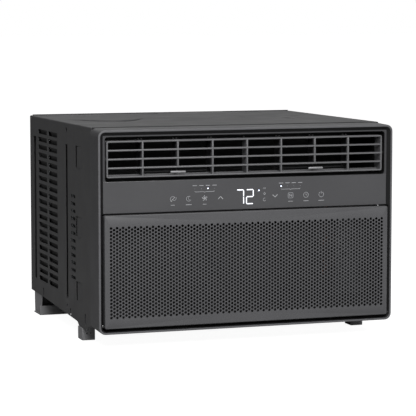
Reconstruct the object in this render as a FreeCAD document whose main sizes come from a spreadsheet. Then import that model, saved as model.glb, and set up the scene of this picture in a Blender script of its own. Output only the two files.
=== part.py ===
import FreeCAD, Part
import Sketcher
import math
import os
import re

from FreeCAD import Placement, Rotation, Vector

# Window air conditioner, 500 mm wide, as separate pieces.
# The origin is on the floor under the middle of the unit. +X is to the right for someone facing the
# front, +Y runs to the rear and +Z is up. All sizes are millimetres.

doc = FreeCAD.newDocument("window_air_conditioner")
sheet = doc.addObject("Spreadsheet::Sheet", "Dims")

# Every depth is counted from the crest, the foremost line of the bezel.
DIMENSIONS = [
    ("crest", -225.5, "y of the bezel's crest"),
    ("bezel_half", 250, "half the bezel's width"),
    ("bezel_low", 26, "bezel's underside"),
    ("bezel_high", 350, "bezel's top"),
    ("bezel_deep", 49.5, "crest to the seam"),
    ("bezel_corner", 10, "corner radius seen from the front"),
    ("bezel_wall", 3, "moulded wall"),
    ("face_deep", 12, "thickness of the bezel's front frame"),
    ("outlet_half", 239, "half the outlet's width"),
    ("outlet_low", 267, "outlet's lower edge"),
    ("outlet_high", 337, "outlet's upper edge"),
    ("tunnel_wall", 2.5, "wall round the outlet tunnel"),
    ("panel_half", 241.2, "half the control panel's width"),
    ("panel_low", 217, "control panel's lower edge"),
    ("panel_set", 5, "control panel's front face behind the crest"),
    ("panel_thick", 3, "control panel"),
    ("panel_back", 10, "rear of the web behind the control panel"),
    ("display_half", 28, "half the display window's width"),
    ("display_low", 222, "display window's lower edge"),
    ("display_high", 260, "display window's upper edge"),
    ("grille_half", 241.1, "half the intake grille's width"),
    ("intake_low", 30.4, "sill of the bezel's opening for the grille"),
    ("grille_low", 35.4, "intake grille's lower edge"),
    ("grille_high", 214.8, "intake grille's upper edge"),
    ("grille_proud", 3, "grille face in front of the crest"),
    ("grille_skin", 2.5, "grille face"),
    ("grille_skirt", 2, "grille's side walls"),
    ("grille_deep", 18, "grille's side walls behind the crest"),
    ("grille_room", 243.9, "half the width of the bezel's opening for the grille"),
    ("slot_long", 46, "airway in the grille face"),
    ("slot_tall", 5, "airway in the grille face"),
    ("slot_step_x", 51.7, "airway pitch across"),
    ("slot_step_z", 11.6, "airway pitch up"),
    ("slot_start_x", -230, "left end of the first airway"),
    ("slot_start_z", 55, "bottom of the first airway"),
    ("hinge_deep", 3, "grille hinge behind the crest"),
    ("hinge_z", 38.4, "height of the grille hinge"),
    ("hinge_pin", 2, "radius of the grille's hinge pins"),
    ("pin_gap", 0.06, "running clearance round a plastic pin"),
    ("guide_inner", 229, "inner side of the filter guides"),
    ("guide_back", 28, "rear of the filter guides"),
    ("filter_front", 21.2, "filter's front face"),
    ("filter_back", 24.8, "filter's rear face"),
    ("filter_half", 236, "half the filter's width"),
    ("filter_low", 41, "filter's lower edge"),
    ("filter_high", 211, "filter's upper edge"),
    ("filter_bar", 7, "bars of the filter frame"),
    ("guide_gap", 0.3, "filter's clearance in its guides"),
    ("grid_front", 7.6, "louvre grid's front face"),
    ("grid_half", 235.65, "half the louvre grid's width"),
    ("grid_low", 272.55, "louvre grid's lower edge"),
    ("grid_high", 330.85, "louvre grid's upper edge"),
    ("grid_bar", 2.7, "grid bars seen from the front"),
    ("grid_deep", 15, "rear of the grid bars"),
    ("grid_step_x", 58.575, "pitch of the upright bars"),
    ("grid_step_z", 13.9, "pitch of the level bars"),
    ("cheek_deep", 32, "rear of the grid's end cheeks"),
    ("rail_front", 22, "front of the vane rails"),
    ("rail_back", 30, "rear of the vane rails"),
    ("rail_thick", 4, "height of the vane rails"),
    ("tilt_deep", 17, "tilt axis of the louvre grid"),
    ("tilt_pin", 3, "radius of the grid's tilt pins"),
    ("vane_axis", 25.6, "vane pivots behind the crest"),
    ("vane_front", 17.4, "front edge of the vanes"),
    ("vane_back", 39, "rear edge of the vanes"),
    ("vane_thick", 1.6, "vane blade"),
    ("vane_gap", 0.5, "vane's end clearance"),
    ("vane_pin", 1.2, "radius of the vane pins"),
    ("link_deep", 35.6, "link pins behind the crest"),
    ("link_low", 278, "underside of the link bars"),
    ("link_thick", 2, "link bar"),
    ("link_half", 2.4, "half the link bar's width"),
    ("link_pin", 1, "radius of the link pins"),
    ("link_loose", 0.4, "clearance of the free link pins"),
    ("tab_half", 12.5, "half the paddle's width"),
    ("tab_low", 278.6, "underside of the paddle"),
    ("tab_thick", 3, "paddle"),
    ("tab_front", 5, "front of the paddle"),
    ("tab_back", 10, "rear of the paddle"),
    ("case_half", 246.7, "half the cabinet's width"),
    ("case_front", 51, "front edge of the cabinet"),
    ("case_back", 454, "rear edge of the cabinet"),
    ("case_high", 348.6, "cabinet's top"),
    ("case_sheet", 1.2, "cabinet steel"),
    ("curtain_front", 132, "front of the slots for the curtain frame's hooks"),
    ("curtain_back", 149, "rear of the slots for the curtain frame's hooks"),
    ("pin_deep", 205, "hole for the window bracket's pin"),
    ("pin_z", 338, "hole for the window bracket's pin"),
    ("pin_hole", 4, "radius of the hole for the window bracket's pin"),
    ("pass_left", 108, "gap in the bulkhead for the pipes"),
    ("pass_right", 142, "gap in the bulkhead for the pipes"),
    ("pass_low", 72, "gap in the bulkhead for the pipes"),
    ("pass_high", 120, "gap in the bulkhead for the pipes"),
    ("grommet_tall", 14, "rubber grommet under the compressor's foot"),
    ("grommet_cap", 4, "rubber grommet above the compressor's foot"),
    ("stud_long", 32, "compressor stud"),
    ("nut_thick", 5, "nut on the compressor stud"),
    ("tank_dome", 10, "rounding of the accumulator's ends"),
    ("drier_dome", 4, "rounding of the filter drier's ends"),
    ("motor_round", 4, "rounding of the motor's ends"),
    ("louvre_long", 60, "side louvre"),
    ("louvre_tall", 8, "side louvre"),
    ("louvre_step", 13.5, "side louvre pitch"),
    ("louvre_low", 63.5, "bottom of the lowest louvre"),
    ("louvre_first", 266, "front louvre column"),
    ("louvre_second", 335.5, "rear louvre column"),
    ("louvre_rows", 20, "louvres in a column"),
    ("vent_long", 28, "small side vent"),
    ("vent_tall", 5.5, "small side vent"),
    ("vent_step", 12.2, "small side vent pitch"),
    ("vent_low", 94, "bottom of the lowest vent"),
    ("vent_front", 151, "front end of the vents"),
    ("vent_rows", 12, "vents in the column"),
    ("pan_half", 245.2, "half the base pan's width"),
    ("pan_front", 52, "front of the base pan"),
    ("pan_back", 448.4, "rear of the base pan"),
    ("pan_low", 38.5, "base pan's underside"),
    ("pan_sheet", 1.5, "base pan steel"),
    ("pan_rim", 20, "height of the base pan's rim"),
    ("drain_bore", 6, "radius of the drain hole"),
    ("drain_deep", 400, "drain hole behind the crest"),
    ("foot_out", 247.3, "outer face of a front foot"),
    ("foot_in", 225.4, "inner face of a front foot"),
    ("foot_front", 111, "front of a front foot"),
    ("foot_back", 138, "rear of a front foot"),
    ("foot_step", 20.8, "height of the foot's visible block"),
    ("rail_deep", 391, "front of the rear rail"),
    ("rail_end", 435, "rear of the rear rail"),
    ("rail_high", 16.5, "rear rail's height"),
    ("rail_sheet", 2, "rear rail steel"),
    ("rail_holes", 150, "rail fixing holes from the middle"),
    ("rail_hole", 2.75, "radius of the rail fixing holes"),
    ("fan_x", -35, "fan axis"),
    ("fan_z", 168, "fan axis"),
    ("shaft_radius", 5, "fan shaft"),
    ("bearing_gap", 0.05, "shaft clearance in the motor"),
    ("shaft_front", 112, "front end of the shaft"),
    ("shaft_back", 366, "rear end of the shaft"),
    ("wheel_front", 114, "blower wheel"),
    ("wheel_back", 162, "blower wheel"),
    ("wheel_radius", 74, "blower wheel"),
    ("wheel_inner", 62, "inside of the blower blades"),
    ("wheel_blades", 36, "blower blades"),
    ("wheel_disc", 2, "blower wheel's back plate"),
    ("scroll_front", 106, "scroll housing"),
    ("scroll_back", 170, "scroll housing"),
    ("scroll_left", -165, "scroll housing"),
    ("scroll_right", 95, "scroll housing"),
    ("scroll_low", 60, "scroll housing"),
    ("scroll_high", 262, "scroll housing"),
    ("scroll_wall", 4, "back wall of the scroll"),
    ("volute", 92, "radius of the scroll"),
    ("inlet_radius", 60, "fan inlet"),
    ("duct_front", 50.5, "outlet duct"),
    ("duct_back", 170, "outlet duct"),
    ("duct_low", 262.5, "outlet duct"),
    ("duct_high", 342, "outlet duct"),
    ("duct_wall", 3, "outlet duct"),
    ("duct_half", 242, "half the outlet duct's width"),
    ("bulkhead_deep", 174, "front of the bulkhead"),
    ("bulkhead_sheet", 1.2, "bulkhead steel"),
    ("motor_radius", 52, "fan motor"),
    ("motor_front", 186, "fan motor"),
    ("motor_back", 250, "fan motor"),
    ("motor_boss", 14, "radius of the motor's bearing housings"),
    ("bracket_sheet", 2, "motor bracket"),
    ("prop_radius", 117, "tips of the condenser fan's blades"),
    ("prop_hub", 24, "condenser fan's hub"),
    ("prop_front", 320, "condenser fan"),
    ("prop_back", 356, "condenser fan"),
    ("prop_blades", 5, "condenser fan"),
    ("prop_pitch", 26, "blade angle in degrees"),
    ("prop_blade", 2.4, "blade thickness"),
    ("sling_radius", 121, "outside of the slinger ring"),
    ("shroud_deep", 372, "fan shroud plate"),
    ("shroud_sheet", 2, "fan shroud plate"),
    ("shroud_radius", 126, "fan opening in the shroud"),
    ("collar_deep", 344, "front of the shroud's collar"),
    ("cold_front", 58, "evaporator"),
    ("cold_back", 100, "evaporator"),
    ("cold_left", -226, "evaporator"),
    ("cold_right", 152, "evaporator"),
    ("cold_low", 58, "evaporator"),
    ("cold_high", 250, "evaporator"),
    ("hot_front", 392, "condenser"),
    ("hot_back", 434, "condenser"),
    ("hot_half", 228, "half the condenser's width"),
    ("hot_low", 44, "condenser"),
    ("hot_high", 338, "condenser"),
    ("coil_plate", 1.5, "end plates of the coils"),
    ("coil_tube", 4.5, "radius of the coil tubes"),
    ("coil_pitch", 25, "spacing of the coil tubes"),
    ("pump_x", 168, "compressor"),
    ("pump_deep", 250, "compressor"),
    ("pump_radius", 50, "compressor"),
    ("pump_low", 56, "compressor"),
    ("pump_high", 250, "compressor"),
    ("pump_dome", 26, "rounding of the compressor's shell"),
    ("pump_foot", 2.5, "compressor foot plate"),
    ("pump_bolts", 58, "compressor studs from its axis"),
    ("stud_radius", 3, "compressor studs"),
    ("grommet_radius", 10, "compressor grommets"),
    ("tank_x", 92, "accumulator"),
    ("tank_deep", 262, "accumulator"),
    ("tank_radius", 20, "accumulator"),
    ("tank_low", 100, "accumulator"),
    ("tank_high", 226, "accumulator"),
    ("pipe_radius", 4, "copper pipe"),
    ("box_left", 172, "control box"),
    ("box_right", 240, "control box"),
    ("box_front", 56, "control box"),
    ("box_back", 165, "control box"),
    ("box_low", 64, "control box"),
    ("box_high", 254, "control box"),
    ("box_wall", 2, "control box"),
    ("guard_wire", 1.5, "radius of the guard wires"),
    ("rear_deep", 452, "rear face of the rear panel"),
    ("window_half", 222, "half the rear opening's width"),
    ("window_low", 66, "rear opening"),
    ("window_high", 330, "rear opening"),
    ("screw_head", 4, "radius of a sheet-metal screw head"),
    ("screw_rise", 1.6, "height of a sheet-metal screw head"),
    ("gland_deep", 36, "cord gland behind the crest"),
    ("gland_z", 60, "height of the cord gland"),
    ("gland_radius", 7, "cord gland's sleeve"),
    ("gland_bore", 4, "cord gland's bore"),
]

for row, (alias, number, meaning) in enumerate(DIMENSIONS, start=1):
    sheet.set(f"A{row}", alias)
    sheet.set(f"B{row}", str(number))
    sheet.set(f"C{row}", meaning)
    sheet.setAlias(f"B{row}", alias)
doc.recompute()

ALIASES = {alias for alias, number, meaning in DIMENSIONS}
AXIS_TURN = {"X": Rotation(Vector(0, 1, 0), 90), "Y": Rotation(Vector(1, 0, 0), -90), "Z": Rotation()}
finished = []


# ---- helpers -------------------------------------------------------------------------------------

def formula(text):
    """An expression in which every alias points at the sheet."""
    def point_at_sheet(match):
        word = match.group(0)
        return "Dims." + word if word in ALIASES else word
    return re.sub(r"[a-z_]+", point_at_sheet, str(text))


def size(alias):
    """A driving dimension as a number, for shapes that are made edge by edge."""
    return float(getattr(sheet, alias))


def bind(thing, **formulas):
    for name, text in formulas.items():
        thing.setExpression(name, formula(text))


def place(thing, x, y, z, turn=Rotation()):
    thing.Placement = Placement(Vector(0, 0, 0), turn)
    for axis, text in (("x", x), ("y", y), ("z", z)):
        thing.setExpression("Placement.Base." + axis, formula(text))


def block(name, x_span, y_span, z_span):
    """A box between two corners; y_span holds depths behind the crest."""
    thing = doc.addObject("Part::Box", name)
    bind(thing, Length=f"({x_span[1]}) - ({x_span[0]})", Width=f"({y_span[1]}) - ({y_span[0]})",
         Height=f"({z_span[1]}) - ({z_span[0]})")
    place(thing, x_span[0], f"crest + ({y_span[0]})", z_span[0])
    return thing


def rod(name, radius, start, length, axis):
    """A cylinder from its start (x, depth, z) along an axis."""
    thing = doc.addObject("Part::Cylinder", name)
    bind(thing, Radius=radius, Height=length)
    place(thing, start[0], f"crest + ({start[1]})", start[2], AXIS_TURN[axis])
    return thing


def fuse(name, *things):
    joined = doc.addObject("Part::MultiFuse", name)
    joined.Shapes = list(things)
    return joined


def cut(name, base, *tools):
    """The base less every tool; several tools are joined first."""
    thing = doc.addObject("Part::Cut", name)
    thing.Base = base
    thing.Tool = tools[0] if len(tools) == 1 else fuse(name + "_tools", *tools)
    return thing


def group(name, *things):
    """Identical fasteners or parts that share one node as separate solids."""
    many = doc.addObject("Part::Compound", name)
    many.Links = list(things)
    return many


def ring(name, outer, inner, start, length, axis):
    return cut(name, rod(name + "_disc", outer, start, length, axis),
               rod(name + "_hole", inner, start, length, axis))


def frame(name, x_span, y_span, z_span, wall):
    """A rectangular tube open to the front and the rear."""
    outer = block(name + "_outer", x_span, y_span, z_span)
    inner = block(name + "_inner", (f"{x_span[0]} + {wall}", f"{x_span[1]} - {wall}"), y_span,
                  (f"{z_span[0]} + {wall}", f"{z_span[1]} - {wall}"))
    return cut(name, outer, inner)


def round_edges(name, base, radius, wanted):
    """A fillet on every edge of the base for which wanted(edge) holds."""
    doc.recompute()
    thing = doc.addObject("Part::Fillet", name)
    thing.Base = base
    amount = size(radius)
    chosen = [index for index, edge in enumerate(base.Shape.Edges, start=1) if wanted(edge)]
    thing.Edges = [(index, amount, amount) for index in chosen]
    return thing


def runs_along(edge, axis):
    """True for a straight edge that is parallel to the axis vector."""
    if not isinstance(edge.Curve, Part.Line):
        return False
    return abs(edge.tangentAt(edge.FirstParameter).dot(axis)) > 0.999


def outer_corner(edge, half_width):
    """True for an edge along Y that lies on the outermost side faces."""
    return runs_along(edge, Vector(0, 1, 0)) and abs(abs(edge.CenterOfMass.x) - half_width) < 0.01


def piece(thing, label=None):
    """Marks an object as one finished sub-part."""
    thing.Label = label or thing.Name
    finished.append(thing)
    return thing


def new_body(name):
    return doc.addObject("PartDesign::Body", name)


def new_sketch(body, name, role, right="0", up="0", out="0"):
    """A sketch on one of the body's own planes; its origin is moved by formulas."""
    sketch = body.newObject("Sketcher::SketchObject", name)
    plane = next(item for item in body.Origin.OriginFeatures if item.Role == role)
    sketch.AttachmentSupport = [(plane, "")]
    sketch.MapMode = "FlatFace"
    for axis, text in (("x", right), ("y", up), ("z", out)):
        sketch.setExpression("AttachmentOffset.Base." + axis, formula(text))
    return sketch


def rectangle(sketch, low, high):
    """A rectangle between two corners given by positive formulas (right, up)."""
    first = sketch.GeometryCount
    corners = [Vector(10, 10, 0), Vector(30, 10, 0), Vector(30, 30, 0), Vector(10, 30, 0)]
    for index in range(4):
        sketch.addGeometry(Part.LineSegment(corners[index], corners[(index + 1) % 4]))
    for index in range(4):
        sketch.addConstraint(Sketcher.Constraint("Coincident", first + index, 2, first + (index + 1) % 4, 1))
    for index, kind in enumerate(("Horizontal", "Vertical", "Horizontal", "Vertical")):
        sketch.addConstraint(Sketcher.Constraint(kind, first + index))
    limits = (("DistanceX", first, low[0]), ("DistanceY", first, low[1]),
              ("DistanceX", first + 2, high[0]), ("DistanceY", first + 2, high[1]))
    for kind, line, text in limits:
        number = sketch.addConstraint(Sketcher.Constraint(kind, -1, 1, line, 1, 20))
        sketch.setExpression(f"Constraints[{number}]", formula(text))


def circle(sketch, centre, radius):
    """A circle at positive formulas (right, up)."""
    index = sketch.addGeometry(Part.Circle(Vector(10, 10, 0), Vector(0, 0, 1), 2))
    for kind, text in (("DistanceX", centre[0]), ("DistanceY", centre[1])):
        number = sketch.addConstraint(Sketcher.Constraint(kind, -1, 1, index, 3, 10))
        sketch.setExpression(f"Constraints[{number}]", formula(text))
    number = sketch.addConstraint(Sketcher.Constraint("Radius", index, 2))
    sketch.setExpression(f"Constraints[{number}]", formula(radius))


def through_pocket(body, name, sketch):
    """A pocket through the whole body, both ways from its sketch."""
    pocket = body.newObject("PartDesign::Pocket", name)
    pocket.Profile = sketch
    pocket.SideType = "Symmetric"
    pocket.Type = "ThroughAll"
    return pocket


def row_up(body, name, feature, sketch, count, pitch):
    """Repeats a feature upwards along the sketch's vertical axis."""
    pattern = body.newObject("PartDesign::LinearPattern", name)
    pattern.Originals = [feature]
    pattern.Direction = (sketch, ["V_Axis"])
    bind(pattern, Occurrences=count, Length=f"({count} - 1) * {pitch}")
    body.Tip = pattern
    return pattern


def bent_pipe(name, route, radius, bend):
    """A pipe along straight runs joined by tangent arcs; route points are (x, depth, z)."""
    points = [Vector(x, size("crest") + depth, z) for x, depth, z in route]
    edges = []
    start = points[0]
    for before, corner, after in zip(points, points[1:], points[2:]):
        incoming = (corner - before).normalize()
        outgoing = (after - corner).normalize()
        turn = incoming.getAngle(outgoing)
        reach = bend * math.tan(turn / 2)
        entry = corner - incoming * reach
        leave = corner + outgoing * reach
        inward = (outgoing - incoming).normalize()
        middle = corner + inward * (bend / math.cos(turn / 2) - bend)
        edges.append(Part.LineSegment(start, entry).toShape())
        edges.append(Part.Arc(entry, middle, leave).toShape())
        start = leave
    edges.append(Part.LineSegment(start, points[-1]).toShape())
    path = Part.Wire(edges)
    section = Part.Wire(Part.makeCircle(radius, points[0], (points[1] - points[0]).normalize()))
    pipe = doc.addObject("Part::Feature", name)
    pipe.Shape = path.makePipeShell([section], True, False)
    return pipe


# ---- front ---------------------------------------------------------------------------------------

def make_bezel():
    """Moulded front frame with the tunnel in which the louvre grid swings."""
    shell = block("bezel_shell", ("-bezel_half", "bezel_half"), ("0", "bezel_deep"),
                  ("bezel_low", "bezel_high"))
    doc.recompute()
    shell = round_edges("bezel_rounded", shell, "bezel_corner",
                        lambda edge: outer_corner(edge, size("bezel_half")))
    hollow = block("bezel_hollow", ("bezel_wall - bezel_half", "bezel_half - bezel_wall"),
                   ("face_deep", "bezel_deep"), ("bezel_low + bezel_wall", "bezel_high - bezel_wall"))
    intake = block("bezel_intake", ("-grille_room", "grille_room"), ("0", "face_deep"),
                   ("intake_low", "panel_low - 0.4"))
    recess = block("bezel_recess", ("-panel_half", "panel_half"), ("0", "panel_set + panel_thick"),
                   ("panel_low - 0.4", "outlet_low"))
    window = block("bezel_window", ("-display_half", "display_half"), ("0", "face_deep"),
                   ("display_low", "display_high"))
    relief = block("bezel_relief", ("-panel_half", "panel_half"), ("panel_back", "face_deep"),
                   ("panel_low", "outlet_low - tunnel_wall"))
    outlet = block("bezel_outlet", ("-outlet_half", "outlet_half"), ("0", "face_deep"),
                   ("outlet_low", "outlet_high"))
    mouth = block("bezel_mouth", ("-outlet_half", "outlet_half"), ("0", "panel_set + panel_thick"),
                  ("outlet_low - 1", "outlet_high"))
    openings = fuse("bezel_openings", hollow, intake, recess, window, relief, outlet, mouth)
    tunnel = frame("bezel_tunnel", ("-outlet_half - tunnel_wall", "outlet_half + tunnel_wall"),
                   ("face_deep", "bezel_deep"), ("outlet_low - tunnel_wall", "outlet_high + tunnel_wall"),
                   "tunnel_wall")
    grid_bore = rod("bezel_grid_bore", "tilt_pin + pin_gap",
                    ("-outlet_half - tunnel_wall", "tilt_deep", "(grid_low + grid_high) / 2"),
                    "2 * (outlet_half + tunnel_wall)", "X")
    hinge_bore = rod("bezel_hinge_bore", "hinge_pin + pin_gap",
                     ("-grille_room - 3", "hinge_deep", "hinge_z"), "2 * (grille_room + 3)", "X")
    gland_hole = rod("bezel_gland_hole", "gland_radius",
                     ("bezel_half - bezel_wall", "gland_deep", "gland_z"), "bezel_wall", "X")
    body = fuse("bezel_body", cut("bezel_open", shell, openings), tunnel)
    piece(cut("front_bezel", body, grid_bore, hinge_bore, gland_hole))


def make_control_panel():
    """Smooth touch panel, the lit digits behind it and their board."""
    piece(block("control_panel", ("0.2 - panel_half", "panel_half - 0.2"),
                ("panel_set", "panel_set + panel_thick"), ("panel_low - 0.2", "outlet_low - 1")))
    piece(block("digit_display", ("1 - display_half", "display_half - 1"), ("panel_set + panel_thick", "14"),
                ("display_low + 1", "display_high - 1")))
    piece(block("display_board", ("-150", "150"), ("14", "15.6"), ("display_low - 1", "display_high + 1")))


def make_grille():
    """Intake grille: airways in rows, side walls and hinge pins."""
    body = new_body("grille_core")
    outline = new_sketch(body, "grille_outline", "XZ_Plane", "-grille_half", "0", "grille_proud - crest")
    rectangle(outline, ("0.001", "grille_low"), ("2 * grille_half", "grille_high"))
    face = body.newObject("PartDesign::Pad", "grille_pad")
    face.Profile = outline
    face.Reversed = True
    bind(face, Length="grille_skin")
    airway = new_sketch(body, "grille_airway", "XZ_Plane", "-grille_half", "0", "grille_proud - crest")
    rectangle(airway, ("slot_start_x + grille_half", "slot_start_z"),
              ("slot_start_x + grille_half + slot_long", "slot_start_z + slot_tall"))
    pocket = through_pocket(body, "grille_pocket", airway)
    doc.recompute()
    pattern = body.newObject("PartDesign::LinearPattern", "grille_rows")
    pattern.Originals = [pocket]
    pattern.Direction = (airway, ["V_Axis"])
    pattern.Direction2 = (airway, ["H_Axis"])
    bind(pattern, Length="11 * slot_step_z", Length2="8 * slot_step_x")
    pattern.Occurrences = 12
    pattern.Occurrences2 = 9
    body.Tip = pattern
    doc.recompute()
    walls = frame("grille_walls", ("-grille_half", "grille_half"),
                  ("grille_skin - grille_proud", "grille_deep / 2"), ("grille_low", "grille_high"),
                  "grille_skirt")
    sides = [block("grille_side_" + name, span, ("grille_deep / 2", "grille_deep"),
                   ("grille_low + 6", "grille_high"))
             for name, span in (("left", ("-grille_half", "grille_skirt - grille_half")),
                                ("right", ("grille_half - grille_skirt", "grille_half")))]
    pins = [rod("grille_pin_" + name, "hinge_pin", (start, "hinge_deep", "hinge_z"), "5", "X")
            for name, start in (("left", "-grille_half - 5"), ("right", "grille_half"))]
    piece(fuse("intake_grille", body, walls, *sides, *pins))


def make_filter():
    """Filter in two guides behind the grille."""
    guides = []
    for name, sign in (("left", "-1"), ("right", "1")):
        outer = "grille_half - grille_skirt"
        near = f"{sign} * guide_inner" if sign == "1" else f"{sign} * ({outer})"
        far = f"{sign} * ({outer})" if sign == "1" else f"{sign} * guide_inner"
        bar = block("guide_bar_" + name, (near, far), ("grille_deep - 2", "guide_back"),
                    ("filter_low - 2.4", "filter_high + 1"))
        slot_near = near if sign == "1" else "-filter_half - guide_gap"
        slot_far = "filter_half + guide_gap" if sign == "1" else far
        slot = block("guide_slot_" + name, (slot_near, slot_far),
                     ("filter_front - guide_gap", "filter_back + guide_gap"),
                     ("filter_low - guide_gap", "filter_high + 2"))
        guides.append(cut("guide_" + name, bar, slot))
    piece(group("filter_guides", *guides))
    piece(frame("filter_frame", ("-filter_half", "filter_half"), ("filter_front", "filter_back"),
                ("filter_low", "filter_high"), "filter_bar"))
    piece(block("filter_mesh", ("filter_bar - filter_half", "filter_half - filter_bar"),
                ("filter_front + 1.4", "filter_front + 2.2"),
                ("filter_low + filter_bar", "filter_high - filter_bar")))


def make_grid():
    """Louvre grid: level and upright bars, cheeks, vane rails and the fixed middle rib."""
    parts = [frame("grid_rim", ("-grid_half", "grid_half"), ("grid_front", "grid_deep"),
                   ("grid_low", "grid_high"), "grid_bar")]
    for index in range(1, 4):
        low = f"grid_low + {index} * grid_step_z"
        parts.append(block(f"grid_level_{index}", ("-grid_half", "grid_half"), ("grid_front", "grid_deep"),
                           (low, f"{low} + grid_bar")))
    for index in range(-3, 4):
        middle = f"{index} * grid_step_x"
        bottom = "grid_low + grid_step_z" if abs(index) == 2 else "grid_low"
        parts.append(block(f"grid_upright_{index + 3}",
                           (f"{middle} - grid_bar / 2", f"{middle} + grid_bar / 2"),
                           ("grid_front", "grid_deep"), (bottom, "grid_high")))
    for name, start in (("left", "-grid_half"), ("right", "grid_half - grid_bar")):
        parts.append(block("grid_cheek_" + name, (start, f"{start} + grid_bar"), ("grid_deep", "cheek_deep"),
                           ("grid_low", "grid_high")))
        pin_start = "-grid_half - 5" if name == "left" else "grid_half"
        parts.append(rod("grid_pin_" + name, "tilt_pin",
                         (pin_start, "tilt_deep", "(grid_low + grid_high) / 2"), "5", "X"))
    for name, low in (("low", "grid_low"), ("high", "grid_high - rail_thick")):
        parts.append(block("grid_rail_" + name, ("-grid_half", "grid_half"), ("rail_front", "rail_back"),
                           (low, f"{low} + rail_thick")))
    parts.append(block("grid_rib", ("-grid_bar / 2", "grid_bar / 2"), ("grid_deep", "rail_back"),
                       ("grid_low", "grid_high")))
    bores = [rod(f"grid_bore_{index}", "vane_pin + pin_gap",
                 (f"{index} * grid_step_x", "vane_axis", "grid_low"), "grid_high - grid_low", "Z")
             for index in (-3, -2, -1, 1, 2, 3)]
    piece(cut("louvre_grid", fuse("grid_body", *parts), *bores))


def make_vane(label, index, tabbed):
    """Upright vane with its pivot pins and link pin; a master vane also has the paddle."""
    middle = f"{index} * grid_step_x"
    sides = (f"{middle} - vane_thick / 2", f"{middle} + vane_thick / 2")
    low = "grid_low + rail_thick + vane_gap"
    high = "grid_high - rail_thick - vane_gap"
    blade = block(label + "_blade", sides, ("vane_front", "vane_back"), (low, high))
    notch = block(label + "_notch", (f"{middle} - 5", f"{middle} + 5"), ("rail_back + 0.5", "vane_back"),
                  (low, "link_low + link_thick + 0.6"))
    parts = [cut(label + "_plate", blade, notch)]
    parts.append(rod(label + "_pin_low", "vane_pin", (middle, "vane_axis", "grid_low + 1"),
                     "rail_thick + 1", "Z"))
    parts.append(rod(label + "_pin_high", "vane_pin", (middle, "vane_axis", "grid_high - rail_thick - 2"),
                     "rail_thick + 1", "Z"))
    parts.append(rod(label + "_link_pin", "link_pin", (middle, "link_deep", "link_low"),
                     "link_thick + 3", "Z"))
    if tabbed:
        parts.append(block(label + "_stem", (f"{middle} - grid_bar / 2", f"{middle} + grid_bar / 2"),
                           ("tab_back", "vane_front + 1"), ("tab_low - 0.6", "tab_low + tab_thick + 0.6")))
        parts.append(block(label + "_paddle", (f"{middle} - tab_half", f"{middle} + tab_half"),
                           ("tab_front", "tab_back"), ("tab_low", "tab_low + tab_thick")))
    piece(fuse(label, *parts))


def make_link(label, master):
    """Bar that joins the three vanes of one group; only the master's hole fits closely."""
    ends = (f"({master} - 1) * grid_step_x - 4", f"({master} + 1) * grid_step_x + 4")
    bar = block(label + "_bar", ends, ("link_deep - link_half", "link_deep + link_half"),
                ("link_low", "link_low + link_thick"))
    holes = []
    for index in (master - 1, master, master + 1):
        slack = "pin_gap" if index == master else "link_loose"
        holes.append(rod(f"{label}_hole_{index + 3}", f"link_pin + {slack}",
                         (f"{index} * grid_step_x", "link_deep", "link_low"), "link_thick", "Z"))
    piece(cut(label, bar, *holes))


def make_vanes():
    for side, master in (("left", -2), ("right", 2)):
        for place_name, index in (("outer", master + (1 if master > 0 else -1)), ("master", master),
                                  ("inner", master + (-1 if master > 0 else 1))):
            make_vane(f"vane_{side}_{place_name}", index, index == master)
        make_link(f"vane_link_{side}", master)


# ---- casing --------------------------------------------------------------------------------------

# The side's lower edge behind its front corner, with the lug over the foot: (depth, height).
SIDE_LOWER_EDGE = [(74, 28), (82, 21.5), (132, 21.5), (143, 27), (209, 30), (360, 36)]
# Two long slots, then three short ones along the lower edge: corners as (depth, height).
SIDE_SLOTS = (((412, 63), (429, 314)), ((199, 57), (212, 313.5)), ((182.5, 34), (190, 42)),
              ((89, 34), (97, 46)), ((363, 40), (371, 52)))
# Heights of the three slots that take the hooks of the curtain frame.
CURTAIN_SLOTS = ((280, 315), (167, 200), (62, 93))


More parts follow.
